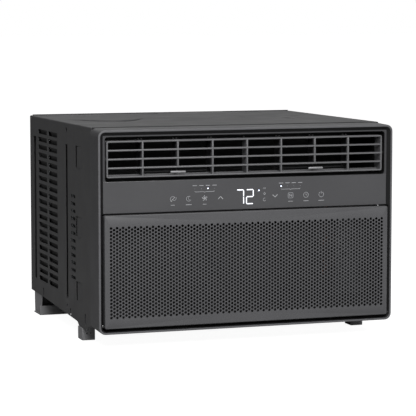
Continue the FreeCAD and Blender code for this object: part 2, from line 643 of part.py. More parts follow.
def make_cabinet():
    """Top and both sides folded from one sheet, with the louvres and slots punched through the sides."""
    body = new_body("cabinet_shell")
    side = new_sketch(body, "case_side", "YZ_Plane", "crest")
    outline = [(size("case_front"), 30)] + SIDE_LOWER_EDGE
    outline += [(size("case_back"), 38), (size("case_back"), size("case_high")),
                (size("case_front"), size("case_high"))]
    corners = [Vector(depth, height, 0) for depth, height in outline]
    for index, corner in enumerate(corners):
        side.addGeometry(Part.LineSegment(corner, corners[(index + 1) % len(corners)]))
    for index in range(len(corners)):
        side.addConstraint(Sketcher.Constraint("Coincident", index, 2, (index + 1) % len(corners), 1))
    top = side.addConstraint(Sketcher.Constraint("DistanceY", -1, 1, 8, 1, size("case_high")))
    side.setExpression(f"Constraints[{top}]", formula("case_high"))
    rear = side.addConstraint(Sketcher.Constraint("DistanceX", -1, 1, 8, 1, size("case_back")))
    side.setExpression(f"Constraints[{rear}]", formula("case_back"))
    pad = body.newObject("PartDesign::Pad", "case_pad")
    pad.Profile = side
    pad.SideType = "Symmetric"
    bind(pad, Length="2 * case_half")
    inside = new_sketch(body, "case_inside", "XZ_Plane", "-case_half")
    rectangle(inside, ("case_sheet", "1"), ("2 * case_half - case_sheet", "case_high - case_sheet"))
    through_pocket(body, "case_hollow", inside)
    for name, start in (("front", "louvre_first"), ("rear", "louvre_second")):
        slot = new_sketch(body, "louvre_" + name, "YZ_Plane", "crest")
        rectangle(slot, (start, "louvre_low"), (f"{start} + louvre_long", "louvre_low + louvre_tall"))
        pocket = through_pocket(body, "louvre_cut_" + name, slot)
        doc.recompute()
        row_up(body, "louvre_row_" + name, pocket, slot, "louvre_rows", "louvre_step")
    vent = new_sketch(body, "vent", "YZ_Plane", "crest")
    rectangle(vent, ("vent_front", "vent_low"), ("vent_front + vent_long", "vent_low + vent_tall"))
    pocket = through_pocket(body, "vent_cut", vent)
    doc.recompute()
    row_up(body, "vent_row", pocket, vent, "vent_rows", "vent_step")
    slots = new_sketch(body, "side_slots", "YZ_Plane", "crest")
    for low, high in SIDE_SLOTS:
        rectangle(slots, low, high)
    for low, high in CURTAIN_SLOTS:
        rectangle(slots, ("curtain_front", low), ("curtain_back", high))
    circle(slots, ("pin_deep", "pin_z"), "pin_hole")
    circle(slots, ("pin_deep", "45"), "2.5")
    through_pocket(body, "side_slot_cut", slots)
    rail_holes = new_sketch(body, "top_holes", "XY_Plane", "-case_half", "crest")
    for across in (-150, 150):
        circle(rail_holes, (f"case_half + {across}", "190"), "2.5")
    holes = body.newObject("PartDesign::Pocket", "top_hole_cut")
    holes.Profile = rail_holes
    holes.Reversed = True
    holes.Type = "ThroughAll"
    piece(body)


def make_base_pan():
    """Drawn steel tray that carries everything; its rear has the drain hole."""
    outer = block("pan_outer", ("-pan_half", "pan_half"), ("pan_front", "pan_back"),
                  ("pan_low", "pan_low + pan_rim"))
    inner = block("pan_inner", ("pan_sheet - pan_half", "pan_half - pan_sheet"),
                  ("pan_front + pan_sheet", "pan_back - pan_sheet"),
                  ("pan_low + pan_sheet", "pan_low + pan_rim"))
    holes = [rod("pan_drain", "drain_bore", ("-120", "drain_deep - 18", "pan_low"), "pan_sheet", "Z")]
    for index, (x, depth) in enumerate(stud_places()):
        holes.append(rod(f"pan_stud_hole_{index}", "stud_radius", (x, depth, "pan_low"), "pan_sheet", "Z"))
    piece(cut("base_pan", outer, inner, *holes))


def make_feet():
    """Two front feet under the pan and the cross rail at the rear."""
    for side, sign in (("left", -1), ("right", 1)):
        outside = "-foot_out" if sign < 0 else "foot_out"
        inside = "-foot_in" if sign < 0 else "foot_in"
        tucked = "-foot_out + 2.1" if sign < 0 else "foot_out - 2.1"
        low = block(f"foot_low_{side}", (outside, inside) if sign < 0 else (inside, outside),
                    ("foot_front", "foot_back"), ("0", "foot_step"))
        high = block(f"foot_high_{side}", (tucked, inside) if sign < 0 else (inside, tucked),
                     ("foot_front", "foot_back"), ("foot_step", "pan_low"))
        piece(fuse(f"front_foot_{side}", low, high))
    face = block("rail_face", ("-bezel_half + 3", "bezel_half - 3"), ("rail_deep", "rail_deep + rail_sheet"),
                 ("0", "rail_high"))
    floor = block("rail_floor", ("-bezel_half + 3", "bezel_half - 3"), ("rail_deep", "rail_end"),
                  ("0", "rail_sheet"))
    back = block("rail_back", ("-pan_half", "pan_half"), ("rail_end - rail_sheet", "rail_end"),
                 ("0", "pan_low"))
    ends = []
    for side, span in (("left", ("-pan_half", "rail_sheet - pan_half")),
                       ("right", ("pan_half - rail_sheet", "pan_half"))):
        ends.append(block("rail_plate_" + side, span, ("rail_deep", "rail_end"), ("0", "pan_low")))
        flange = ("-pan_half", "20 - pan_half") if side == "left" else ("pan_half - 20", "pan_half")
        ends.append(block("rail_flange_" + side, flange, ("rail_deep", "rail_end"),
                          ("pan_low - rail_sheet", "pan_low")))
    holes = [rod(f"rail_hole_{side}", "rail_hole",
                 (f"{side} * rail_holes", "(rail_deep + rail_end) / 2", "0"), "rail_sheet", "Z")
             for side in (-1, 1)]
    piece(cut("rear_rail", fuse("rail_body", face, floor, back, *ends), *holes))


def make_rear():
    """Rear panel with its window, the wire guard in front of it and the screw heads."""
    across = ("1.5 - case_half", "case_half - 1.5")
    plate = block("rear_plate", across, ("rear_deep - 1.5", "rear_deep"), ("pan_low", "case_high - 1.4"))
    flange = frame("rear_flange", across, ("rear_deep - 3.5", "rear_deep - 1.5"),
                   ("pan_low", "case_high - 1.4"), "6")
    window = block("rear_window", ("-window_half", "window_half"), ("rear_deep - 1.5", "rear_deep"),
                   ("window_low", "window_high"))
    piece(cut("rear_panel", fuse("rear_body", plate, flange), window))
    wires = []
    for index in range(12):
        wires.append(rod(f"guard_level_{index}", "guard_wire",
                         ("-window_half - 6", "rear_deep - 5.8", f"window_low + {8 + index * 22.5}"),
                         "2 * window_half + 12", "X"))
    for index in range(7):
        wires.append(rod(f"guard_upright_{index}", "guard_wire",
                         (f"{-216 + index * 72}", "rear_deep - 3", "window_low - 6"),
                         "window_high - window_low + 12", "Z"))
    piece(fuse("coil_guard", *wires))
    heads = []
    for index, (x, z) in enumerate(((-234, 70), (-234, 320), (234, 70), (234, 320))):
        heads.append(rod(f"rear_screw_{index}", "screw_head", (x, "rear_deep", z), "screw_rise", "Y"))
    piece(group("rear_screws", *heads))


# ---- air path ------------------------------------------------------------------------------------

def make_scroll():
    """Scroll housing with a round chamber that opens upwards, and its front plate with the inlet ring."""
    solid = block("scroll_block", ("scroll_left", "scroll_right"), ("scroll_front", "scroll_back"),
                  ("scroll_low", "scroll_high"))
    chamber = rod("scroll_chamber", "volute", ("fan_x", "scroll_front", "fan_z"),
                  "scroll_back - scroll_front - scroll_wall", "Y")
    throat = block("scroll_throat", ("fan_x - volute", "fan_x + 40"),
                   ("scroll_front", "scroll_back - scroll_wall"), ("fan_z", "scroll_high"))
    shaft_hole = rod("scroll_shaft_hole", "motor_boss", ("fan_x", "scroll_front", "fan_z"),
                     "scroll_back - scroll_front", "Y")
    piece(cut("scroll_housing", solid, chamber, throat, shaft_hole))
    plate = block("scroll_plate", ("scroll_left", "scroll_right"), ("scroll_front - 3", "scroll_front"),
                  ("scroll_low", "scroll_high"))
    lip = rod("scroll_lip", "inlet_radius + 4", ("fan_x", "scroll_front", "fan_z"), "5", "Y")
    inlet = rod("scroll_inlet", "inlet_radius", ("fan_x", "scroll_front - 3", "fan_z"), "8", "Y")
    piece(cut("scroll_cover", fuse("scroll_front_plate", plate, lip), inlet))


def make_duct():
    """Plenum from the scroll to the outlet, and the foam seal round its mouth."""
    outer = block("duct_outer", ("-duct_half", "duct_half"), ("duct_front + 3", "duct_back"),
                  ("duct_low", "duct_high"))
    inner = block("duct_inner", ("duct_wall - duct_half", "duct_half - duct_wall"),
                  ("duct_front + 3", "duct_back - duct_wall"),
                  ("duct_low + duct_wall", "duct_high - duct_wall"))
    feed = block("duct_feed", ("fan_x - volute", "fan_x + 40"),
                 ("scroll_front", "scroll_back - scroll_wall"), ("duct_low", "duct_low + duct_wall"))
    piece(cut("outlet_duct", outer, inner, feed))
    piece(frame("duct_seal", ("-duct_half", "duct_half"), ("duct_front", "duct_front + 3"),
                ("duct_low", "duct_high"), "4"))


def make_blower():
    """Squirrel-cage wheel: back plate, hub, a ring of forward-curved blades and a front ring."""
    body = new_body("wheel_cage")
    plan = new_sketch(body, "wheel_blade_plan", "XZ_Plane", "fan_x", "fan_z", "-crest - wheel_front")
    rectangle(plan, ("wheel_inner", "0.001"), ("wheel_radius - 0.5", "1.6"))
    blade = body.newObject("PartDesign::Pad", "wheel_blade")
    blade.Profile = plan
    blade.Reversed = True
    bind(blade, Length="wheel_back - wheel_front")
    hoop = new_sketch(body, "wheel_hoop_plan", "XZ_Plane", "fan_x", "fan_z", "-crest - wheel_front")
    for radius in ("wheel_radius", "wheel_radius - 5"):
        index = hoop.addGeometry(Part.Circle(Vector(0, 0, 0), Vector(0, 0, 1), size("wheel_radius")))
        hoop.addConstraint(Sketcher.Constraint("Coincident", index, 3, -1, 1))
        number = hoop.addConstraint(Sketcher.Constraint("Radius", index, size("wheel_radius")))
        hoop.setExpression(f"Constraints[{number}]", formula(radius))
    doc.recompute()
    pattern = body.newObject("PartDesign::PolarPattern", "wheel_blade_ring")
    pattern.Originals = [blade]
    pattern.Axis = (plan, ["N_Axis"])
    pattern.Angle = 360
    bind(pattern, Occurrences="wheel_blades")
    body.Tip = pattern
    doc.recompute()
    front = body.newObject("PartDesign::Pad", "wheel_hoop")
    front.Profile = hoop
    front.Reversed = True
    front.Length = 3
    body.Tip = front
    disc = rod("wheel_disc_plate", "wheel_radius", ("fan_x", "wheel_back - wheel_disc", "fan_z"),
               "wheel_disc", "Y")
    hub = rod("wheel_hub", "motor_boss - 2", ("fan_x", "wheel_back - 26", "fan_z"), "26", "Y")
    bore = rod("wheel_bore", "shaft_radius", ("fan_x", "wheel_front", "fan_z"),
               "wheel_back - wheel_front", "Y")
    piece(cut("blower_wheel", fuse("wheel_body", body, disc, hub), bore))


def make_motor():
    """Fan motor on its bracket, and the shaft that carries both fans."""
    case = rod("motor_case", "motor_radius", ("fan_x", "motor_front", "fan_z"),
               "motor_back - motor_front", "Y")
    doc.recompute()
    case = round_edges("motor_rounded", case, "motor_round",
                       lambda edge: isinstance(edge.Curve, Part.Circle) and edge.Closed)
    bosses = rod("motor_bosses", "motor_boss", ("fan_x", "motor_front - 7", "fan_z"),
                 "motor_back - motor_front + 14", "Y")
    bore = rod("motor_bore", "shaft_radius + bearing_gap", ("fan_x", "motor_front - 7", "fan_z"),
               "motor_back - motor_front + 14", "Y")
    piece(cut("fan_motor", fuse("motor_body", case, bosses), bore))
    piece(rod("motor_shaft", "shaft_radius", ("fan_x", "shaft_front", "fan_z"),
              "shaft_back - shaft_front", "Y"))
    post = block("bracket_post", ("fan_x - 40", "fan_x + 40"), ("motor_back", "motor_back + bracket_sheet"),
                 ("pan_low + pan_sheet", "fan_z + 30"))
    base = block("bracket_base", ("fan_x - 40", "fan_x + 40"), ("motor_back", "motor_back + 30"),
                 ("pan_low + pan_sheet", "pan_low + pan_sheet + bracket_sheet"))
    eye = rod("bracket_eye", "motor_boss + 0.4", ("fan_x", "motor_back", "fan_z"), "bracket_sheet", "Y")
    piece(cut("motor_bracket", fuse("bracket_body", post, base), eye))


def make_condenser_fan():
    """Axial fan with pitched blades inside a slinger ring."""
    blades = []
    for index in range(int(size("prop_blades"))):
        blade = doc.addObject("Part::Box", f"prop_blade_{index}")
        bind(blade, Length="prop_radius + 2", Width="70", Height="prop_blade")
        around = Rotation(Vector(0, 1, 0), index * 360 / size("prop_blades"))
        pitch = Rotation(Vector(1, 0, 0), size("prop_pitch"))
        turn = around.multiply(pitch)
        half_way = (size("prop_front") + size("prop_back")) / 2
        centre = Vector(size("fan_x"), size("crest") + half_way, size("fan_z"))
        blade.Placement = Placement(centre - turn.multVec(Vector(0, 35, size("prop_blade") / 2)), turn)
        blades.append(blade)
    envelope = rod("prop_envelope", "prop_radius + 1", ("fan_x", "prop_front", "fan_z"),
                   "prop_back - prop_front", "Y")
    swept = doc.addObject("Part::MultiCommon", "prop_swept")
    swept.Shapes = [fuse("prop_blades_raw", *blades), envelope]
    hub = rod("prop_hub_solid", "prop_hub", ("fan_x", "prop_front", "fan_z"), "prop_back - prop_front", "Y")
    hoop = ring("prop_hoop", "sling_radius", "prop_radius", ("fan_x", "prop_front + 12", "fan_z"), "12", "Y")
    bore = rod("prop_bore", "shaft_radius", ("fan_x", "prop_front", "fan_z"), "prop_back - prop_front", "Y")
    piece(cut("condenser_fan", fuse("prop_body", swept, hub, hoop), bore))


def make_walls():
    """Bulkhead between the two air streams and the shroud round the condenser fan."""
    plate = block("bulkhead_plate", ("1.3 - case_half", "case_half - 1.3"),
                  ("bulkhead_deep", "bulkhead_deep + bulkhead_sheet"),
                  ("pan_low + pan_rim", "case_high - 1.4"))
    hole = rod("bulkhead_hole", "motor_boss + 3", ("fan_x", "bulkhead_deep", "fan_z"), "bulkhead_sheet", "Y")
    pass_through = block("bulkhead_pass", ("pass_left", "pass_right"),
                         ("bulkhead_deep", "bulkhead_deep + bulkhead_sheet"), ("pass_low", "pass_high"))
    piece(cut("bulkhead", plate, hole, pass_through))
    board = block("shroud_board", ("-hot_half", "hot_half"), ("shroud_deep", "shroud_deep + shroud_sheet"),
                  ("pan_low + pan_sheet", "hot_high"))
    collar = rod("shroud_collar", "shroud_radius + shroud_sheet", ("fan_x", "collar_deep", "fan_z"),
                 "shroud_deep - collar_deep", "Y")
    opening = rod("shroud_opening", "shroud_radius", ("fan_x", "collar_deep", "fan_z"),
                  "shroud_deep + shroud_sheet - collar_deep", "Y")
    passes = [rod(f"shroud_pass_{index}", "pipe_radius + 1", (x, "shroud_deep", z), "shroud_sheet", "Y")
              for index, (x, z) in enumerate(((190, 300), (200, 92)))]
    piece(cut("fan_shroud", fuse("shroud_body", board, collar), opening, *passes))


# ---- refrigerant circuit -------------------------------------------------------------------------

def make_coil(name, left, right, front, back, low, high):
    """Fin block between two end plates, with the tube bends showing outside the plates."""
    fins = block(name + "_fins", (f"{left} + coil_plate", f"{right} - coil_plate"), (front, back),
                 (low, high))
    plates = [block(name + "_plate_left", (left, f"{left} + coil_plate"), (front, back), (low, high)),
              block(name + "_plate_right", (f"{right} - coil_plate", right), (front, back), (low, high))]
    bends = []
    rows = int((size(high) - size(low) - 20) // size("coil_pitch")) // 2
    for index in range(rows):
        for side, x in (("left", left), ("right", right)):
            bend = doc.addObject("Part::Torus", f"{name}_bend_{side}_{index}")
            bind(bend, Radius1="coil_pitch / 2", Radius2="coil_tube")
            bend.Angle3 = 180
            height = f"{low} + {12 + (index if side == 'left' else index + 0.5) * 50} + coil_pitch / 2"
            place(bend, x, f"crest + ({front} + {back}) / 2", height,
                  Rotation(Vector(0, 0, 1), Vector(1, 0, 0) if side == "right" else Vector(-1, 0, 0),
                           Vector(0, 1, 0), "YXZ"))
            bends.append(bend)
    return fuse(name, fins, *plates, *bends)


def make_coils():
    piece(make_coil("evaporator_coil", "cold_left", "cold_right", "cold_front", "cold_back", "cold_low",
                    "cold_high"))
    piece(make_coil("condenser_coil", "-hot_half", "hot_half", "hot_front", "hot_back", "hot_low",
                    "hot_high"))
    outer = block("tray_outer", ("cold_left - 4", "cold_right + 8"), ("cold_front - 3", "cold_back + 3"),
                  ("pan_low + pan_sheet + 0.5", "cold_low + 6"))
    inner = block("tray_inner", ("cold_left - 2", "cold_right + 6"), ("cold_front - 1", "cold_back + 1"),
                  ("cold_low", "cold_low + 6"))
    piece(cut("drip_tray", outer, inner))
    piece(rod("thermistor", "2.5", ("60", "cold_front - 6", "170"), "5.5", "Y"))


def stud_places():
    """Three studs round the compressor, as (x, depth) formulas."""
    spots = []
    for turn in (90, 210, 330):
        x = f"pump_x + pump_bolts * {math.cos(math.radians(turn)):.4f}"
        depth = f"pump_deep + pump_bolts * {math.sin(math.radians(turn)):.4f}"
        spots.append((x, depth))
    return spots


def make_compressor():
    """Rotary compressor on three rubber grommets, with its studs, nuts and terminal cover."""
    can = rod("pump_can", "pump_radius", ("pump_x", "pump_deep", "pump_low"), "pump_high - pump_low", "Z")
    doc.recompute()
    can = round_edges("pump_shell", can, "pump_dome", lambda edge: isinstance(edge.Curve, Part.Circle))
    feet = []
    lows = "pan_low + pan_sheet"
    for index, (x, depth) in enumerate(stud_places()):
        feet.append(rod(f"pump_lug_{index}", "grommet_radius + 3", (x, depth, f"{lows} + grommet_tall"),
                        "pump_foot", "Z"))
    web = rod("pump_web", "pump_radius + 2", ("pump_x", "pump_deep", f"{lows} + grommet_tall"),
              "pump_foot", "Z")
    holes = [rod(f"pump_hole_{index}", "stud_radius + 3", (x, depth, f"{lows} + grommet_tall"),
                 "pump_foot", "Z")
             for index, (x, depth) in enumerate(stud_places())]
    piece(cut("compressor", fuse("pump_body", can, web, *feet), *holes))
    grommets = []
    nuts = []
    for index, (x, depth) in enumerate(stud_places()):
        low = ring(f"grommet_low_{index}", "grommet_radius", "stud_radius", (x, depth, lows),
                   "grommet_tall", "Z")
        neck = ring(f"grommet_neck_{index}", "stud_radius + 3", "stud_radius",
                    (x, depth, f"{lows} + grommet_tall"), "pump_foot", "Z")
        cap = ring(f"grommet_cap_{index}", "stud_radius + 5", "stud_radius",
                   (x, depth, f"{lows} + grommet_tall + pump_foot"), "grommet_cap", "Z")
        grommets.append(fuse(f"grommet_{index}", low, neck, cap))
        stud = rod(f"stud_{index}", "stud_radius", (x, depth, "pan_low"), "stud_long", "Z")
        nut = doc.addObject("Part::Prism", f"nut_{index}")
        nut.Polygon = 6
        bind(nut, Circumradius="2 * stud_radius", Height="nut_thick")
        place(nut, x, f"crest + {depth}", f"{lows} + grommet_tall + grommet_cap + pump_foot")
        nuts.append(fuse(f"stud_nut_{index}", stud, nut))
    piece(group("compressor_grommets", *grommets))
    piece(group("compressor_studs", *nuts))
    piece(block("terminal_cover", ("pump_x - 16", "pump_x + 16"), ("pump_deep - 17", "pump_deep + 17"),
                ("pump_high", "pump_high + 14")))


def make_tanks():
    """Accumulator beside the compressor and the filter drier in the liquid line."""
    tank = rod("tank_can", "tank_radius", ("tank_x", "tank_deep", "tank_low"), "tank_high - tank_low", "Z")
    doc.recompute()
    tank = round_edges("tank_shell", tank, "tank_dome", lambda edge: isinstance(edge.Curve, Part.Circle))
    piece(tank, "accumulator")
    drier = rod("drier_can", "9", ("200", "338", "120"), "80", "Z")
    doc.recompute()
    piece(round_edges("filter_drier", drier, "drier_dome",
                      lambda edge: isinstance(edge.Curve, Part.Circle)))


def make_pipes():
    """Copper pipes between the compressor, the two coils and the accumulator."""
    radius = size("pipe_radius")
    tank_x = size("tank_x")
    tank_deep = size("tank_deep")
    cold = size("cold_back")
    hot = size("hot_front")
    top = size("pump_high")
    piece(bent_pipe("suction_pipe", [(125, cold, 84), (125, 200, 84), (tank_x, 200, 84), (tank_x, 214, 84),
                                     (tank_x, 214, 262), (tank_x, tank_deep, 262),
                                     (tank_x, tank_deep, size("tank_high"))], radius, 6))
    piece(bent_pipe("intake_pipe", [(tank_x, tank_deep, size("tank_low")), (tank_x, tank_deep, 76),
                                    (118, tank_deep, 76)], radius, 9))
    piece(bent_pipe("discharge_pipe", [(190, 262, top), (190, 262, 300), (190, 383, 300), (190, 383, 270),
                                       (190, hot, 270)], 3, 4.5))
    piece(bent_pipe("liquid_pipe", [(200, hot, 92), (200, 338, 92), (200, 338, 120)], 3, 14))
    piece(bent_pipe("capillary_tube", [(200, 338, 200), (200, 338, 226), (200, 306, 226), (200, 306, 104),
                                       (60, 306, 104), (60, 190, 104), (136, 190, 104), (136, cold, 104)],
                    1.5, 10))


# ---- electrics and small parts -------------------------------------------------------------------

def make_electrics():
    """Control box behind the bezel with its board and capacitor, and the cord gland."""
    outer = block("box_outer", ("box_left", "box_right"), ("box_front", "box_back"), ("box_low", "box_high"))
    inner = block("box_inner", ("box_left + box_wall", "box_right - box_wall"),
                  ("box_front", "box_back - box_wall"), ("box_low + box_wall", "box_high - box_wall"))
    piece(cut("control_box", outer, inner))
    piece(block("control_box_lid", ("box_left", "box_right"), ("box_front - 2", "box_front"),
                ("box_low", "box_high")))
    board = block("board_sheet", ("box_left + 8", "box_left + 9.6"), ("box_front + 6", "box_back - 8"),
                  ("box_low + 70", "box_high - 8"))
    chips = []
    for index in range(5):
        chips.append(block(f"board_chip_{index}", ("box_left + 9.6", f"box_left + {16 + 3 * (index % 3)}"),
                           (f"box_front + {14 + 17 * index}", f"box_front + {26 + 17 * index}"),
                           (f"box_low + {84 + 14 * (index % 2)}", f"box_low + {104 + 14 * (index % 2)}")))
    piece(fuse("main_board", board, *chips))
    piece(rod("run_capacitor", "20", ("(box_left + box_right) / 2", "box_front + 40", "box_low + box_wall"),
              "62", "Z"))
    sleeve = ring("gland_sleeve", "gland_radius", "gland_bore", ("bezel_half - 6", "gland_deep", "gland_z"),
                  "6", "X")
    collar = ring("gland_collar", "gland_radius + 3", "gland_bore",
                  ("bezel_half - 6", "gland_deep", "gland_z"), "6 - bezel_wall", "X")
    piece(fuse("cord_gland", sleeve, collar))


def build():
    make_bezel()
    make_control_panel()
    make_grille()
    make_filter()
    make_grid()
    make_vanes()
    make_cabinet()
    make_base_pan()
    make_feet()
    make_rear()
    make_scroll()
    make_duct()
    make_blower()
    make_motor()
    make_condenser_fan()
    make_walls()
    make_coils()
    make_compressor()
    make_tanks()
    make_pipes()
    make_electrics()


def check_and_write():
    """Stops if any object failed, then writes one STEP file for each sub-part."""
    doc.recompute()
    for thing in doc.Objects:
        if "Invalid" in thing.State or "Error" in thing.State:
            raise RuntimeError(f"{thing.Name} failed: {thing.State}")
    os.makedirs("parts", exist_ok=True)
    for thing in finished:
        if thing.Shape.isNull() or not thing.Shape.isValid() or thing.Shape.Volume <= 0:
            raise RuntimeError(f"{thing.Label} has no valid shape")
    for thing in finished:
        thing.Shape.exportStep(f"parts/{thing.Label}.step")
        print(f"{thing.Label:24s} {len(thing.Shape.Solids)} solid {thing.Shape.Volume / 1000:9.1f} cm3")


build()
check_and_write()
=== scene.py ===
# %% [markdown]
# # A window air conditioner, finished in Blender
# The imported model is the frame: it says where every piece is and what moves. This file dresses that
# frame. Steel is punched and folded, plastic is lofted from ring to ring, and everything that repeats
# (perforations, louvres, fins, filter threads) is laid out by Geometry Nodes.

# %% Load the frame
import math

import bmesh
import bpy
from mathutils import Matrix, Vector


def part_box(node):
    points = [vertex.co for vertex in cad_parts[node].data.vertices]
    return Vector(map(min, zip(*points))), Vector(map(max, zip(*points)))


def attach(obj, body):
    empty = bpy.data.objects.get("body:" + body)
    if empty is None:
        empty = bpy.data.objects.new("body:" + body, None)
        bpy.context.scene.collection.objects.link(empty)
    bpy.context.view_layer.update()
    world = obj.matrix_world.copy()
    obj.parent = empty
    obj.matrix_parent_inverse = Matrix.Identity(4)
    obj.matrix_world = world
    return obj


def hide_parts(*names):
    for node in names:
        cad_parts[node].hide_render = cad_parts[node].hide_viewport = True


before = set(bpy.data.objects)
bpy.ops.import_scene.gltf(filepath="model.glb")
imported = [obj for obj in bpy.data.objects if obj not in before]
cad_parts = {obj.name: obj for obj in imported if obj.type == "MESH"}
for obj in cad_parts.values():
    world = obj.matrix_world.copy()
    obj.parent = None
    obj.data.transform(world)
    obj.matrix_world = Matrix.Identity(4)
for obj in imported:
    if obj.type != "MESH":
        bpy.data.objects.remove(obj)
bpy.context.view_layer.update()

MM = 0.001

# %% [markdown]
# ## Where things are
# Every place is read from a CAD node's box and turned to millimetres. `CREST` is the foremost line of
# the bezel. The grille stands 3 mm proud of it, so the bezel's own box gives the crest.

# %% Places read from the frame


def span(name):
    """Lowest and highest corner of a CAD node, in millimetres."""
    low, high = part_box(name)
    return Vector(low) / MM, Vector(high) / MM


bezel_low, bezel_high = span("front_bezel")
case_low, case_high = span("cabinet_shell")
grille_low, grille_high = span("intake_grille")
panel_low, panel_high = span("control_panel")
grid_low, grid_high = span("louvre_grid")
CREST = bezel_low.y
HALF = bezel_high.x
print("crest at", round(CREST, 1), "half width", round(HALF, 1))

# %% [markdown]
# ## The camera
# A long lens from far off keeps the box's edges nearly parallel. It stands to the left and a little
# above, so the dark side and a sliver of the top show.

# %% Camera
camera = bpy.data.objects.new("camera", bpy.data.cameras.new("camera"))
bpy.context.collection.objects.link(camera)
camera.location = (-1.088, -3.1955, 0.542)
camera.rotation_euler = (math.radians(90 - 5.83), 0, math.radians(-18.93))
camera.data.lens = 171.8
camera.data.sensor_width = 36
bpy.context.scene.camera = camera

# %% [markdown]
# ## One function for nodes
# A node is added, set and linked in one call. An input is either a plain value or another node's
# output socket.

# %% Node helper


def node(tree, kind, inputs=None, **settings):
    item = tree.nodes.new(kind)
    for key, value in settings.items():
        setattr(item, key, value)
    for key, value in (inputs or {}).items():
        if isinstance(value, bpy.types.NodeSocket):
            tree.links.new(value, item.inputs[key])
        else:
            item.inputs[key].default_value = value
    return item


def linear(hexcode):
    """An sRGB hex colour as linear RGBA."""
    parts = [int(hexcode[at:at + 2], 16) / 255 for at in (1, 3, 5)]
    return tuple([p / 12.92 if p <= 0.04045 else ((p + 0.055) / 1.055) ** 2.4 for p in parts] + [1.0])


# %% [markdown]
# ## Finishes
# Each finish starts from what the real surface is and how it was made. Grain is given in millimetres:
# `per_metre(1.5)` is the noise scale whose cells are 1.5 mm wide on Object coordinates.

# %% Material helpers


def per_metre(millimetres):
    return 1000 / millimetres


def shader_of(name, colour, roughness, **sockets):
    """A new material with one Principled shader; returns (material, tree, shader)."""
    material = bpy.data.materials.new(name)
    material.use_nodes = True
    tree = material.node_tree
    shader = tree.nodes["Principled BSDF"]
    shader.inputs["Base Color"].default_value = linear(colour)
    shader.inputs["Roughness"].default_value = roughness
    for key, value in sockets.items():
        shader.inputs[key.replace("_", " ")].default_value = value
    material.diffuse_color = linear(colour)
    return material, tree, shader


def grainy(name, colour, lighter, roughness, grain, height, patch=60, **sockets):
    """A finish with a fine bumpy grain and a slow drift between two close colours."""
    material, tree, shader = shader_of(name, colour, roughness, **sockets)
    where = node(tree, "ShaderNodeTexCoord").outputs["Object"]
    fine = node(tree, "ShaderNodeTexNoise", {"Vector": where, "Scale": per_metre(grain), "Detail": 3.0,
                                             "Roughness": 0.6})
    slow = node(tree, "ShaderNodeTexNoise", {"Vector": where, "Scale": per_metre(patch), "Detail": 2.0})
    both = node(tree, "ShaderNodeMath", {0: fine.outputs["Fac"], 1: slow.outputs["Fac"]}, operation="ADD")
    half = node(tree, "ShaderNodeMath", {0: both.outputs[0], 1: 0.5}, operation="MULTIPLY")
    ramp = node(tree, "ShaderNodeValToRGB", {"Fac": half.outputs[0]})
    ramp.color_ramp.elements[0].position = 0.35
    ramp.color_ramp.elements[0].color = linear(colour)
    ramp.color_ramp.elements[1].position = 0.65
    ramp.color_ramp.elements[1].color = linear(lighter)
    bump = node(tree, "ShaderNodeBump", {"Height": fine.outputs["Fac"], "Distance": height * MM,
                                         "Strength": 0.6})
    worn = node(tree, "ShaderNodeMapRange", {"Value": slow.outputs["Fac"], "From Min": 0.3, "From Max": 0.7,
                                             "To Min": roughness - 0.05, "To Max": roughness + 0.05})
    tree.links.new(ramp.outputs["Color"], shader.inputs["Base Color"])
    tree.links.new(bump.outputs["Normal"], shader.inputs["Normal"])
    tree.links.new(worn.outputs["Result"], shader.inputs["Roughness"])
    return material


# %% [markdown]
# ## Painted steel
# The cabinet is folded from sheet and powder coated. The powder melts into a satin skin with a faint
# orange peel, about 2 mm across, which softens every highlight. The perforated grille has the same
# coat in a lighter grey. The peel is drawn a little coarser than real so that it still shows.

# %% Painted steel
powder_dark = grainy("powder_coated_steel_dark", "#434344", "#474748", 0.5, 2.2, 0.03,
                     Specular_IOR_Level=0.25)
powder_grey = grainy("powder_coated_steel_grey", "#515153", "#555557", 0.48, 2.0, 0.03,
                     Specular_IOR_Level=0.3)
# A lighter grey than the cabinet for the feet and the rail, partly their own paint and partly painted light,
# raised so that they read as lit in the shade under the bezel.
feet_paint_and_painted_light = grainy("powder_coated_steel_feet", "#868688", "#8a8a8c", 0.5, 2.2, 0.03)
# Near black for the louvre flaps and the strip at the top's front edge: painted shade inside the louvres and
# a painted shadow in the gap behind the bezel.
near_black_painted_shade = grainy("black_primer", "#0c0c0c", "#101011", 0.7, 2.0, 0.02)

# %% [markdown]
# ## Moulded plastic
# The bezel and the louvre grid are ABS from a spark-eroded mould: an even, very fine grain that gives a
# soft sheen along rounded edges. The tunnel behind the grid is the same plastic moulded in black, so
# that the outlet looks empty. The bezel's inner slope has a coarser grain and is painted near black as
# painted shade, the shade under the crest; its rim is painted lighter as a painted highlight. The touch
# panel is one smooth sheet of acrylic-capped ABS.

# %% Moulded plastic
abs_grey = grainy("spark_grained_abs_grey", "#404042", "#444446", 0.45, 0.9, 0.015,
                  Specular_IOR_Level=0.25)
# A lighter grey for the bezel's rim: a painted highlight along the crest.
rim_painted_highlight = grainy("polished_abs_rim", "#5c5c5e", "#606063", 0.38, 0.9, 0.008, Specular_IOR_Level=0.4)
# Near black for the bezel's inner slope: painted shade under the crest.
slope_painted_shade = grainy("coarse_grained_abs_grey", "#161617", "#1a1a1b", 0.6, 1.4, 0.03, Specular_IOR_Level=0.2)
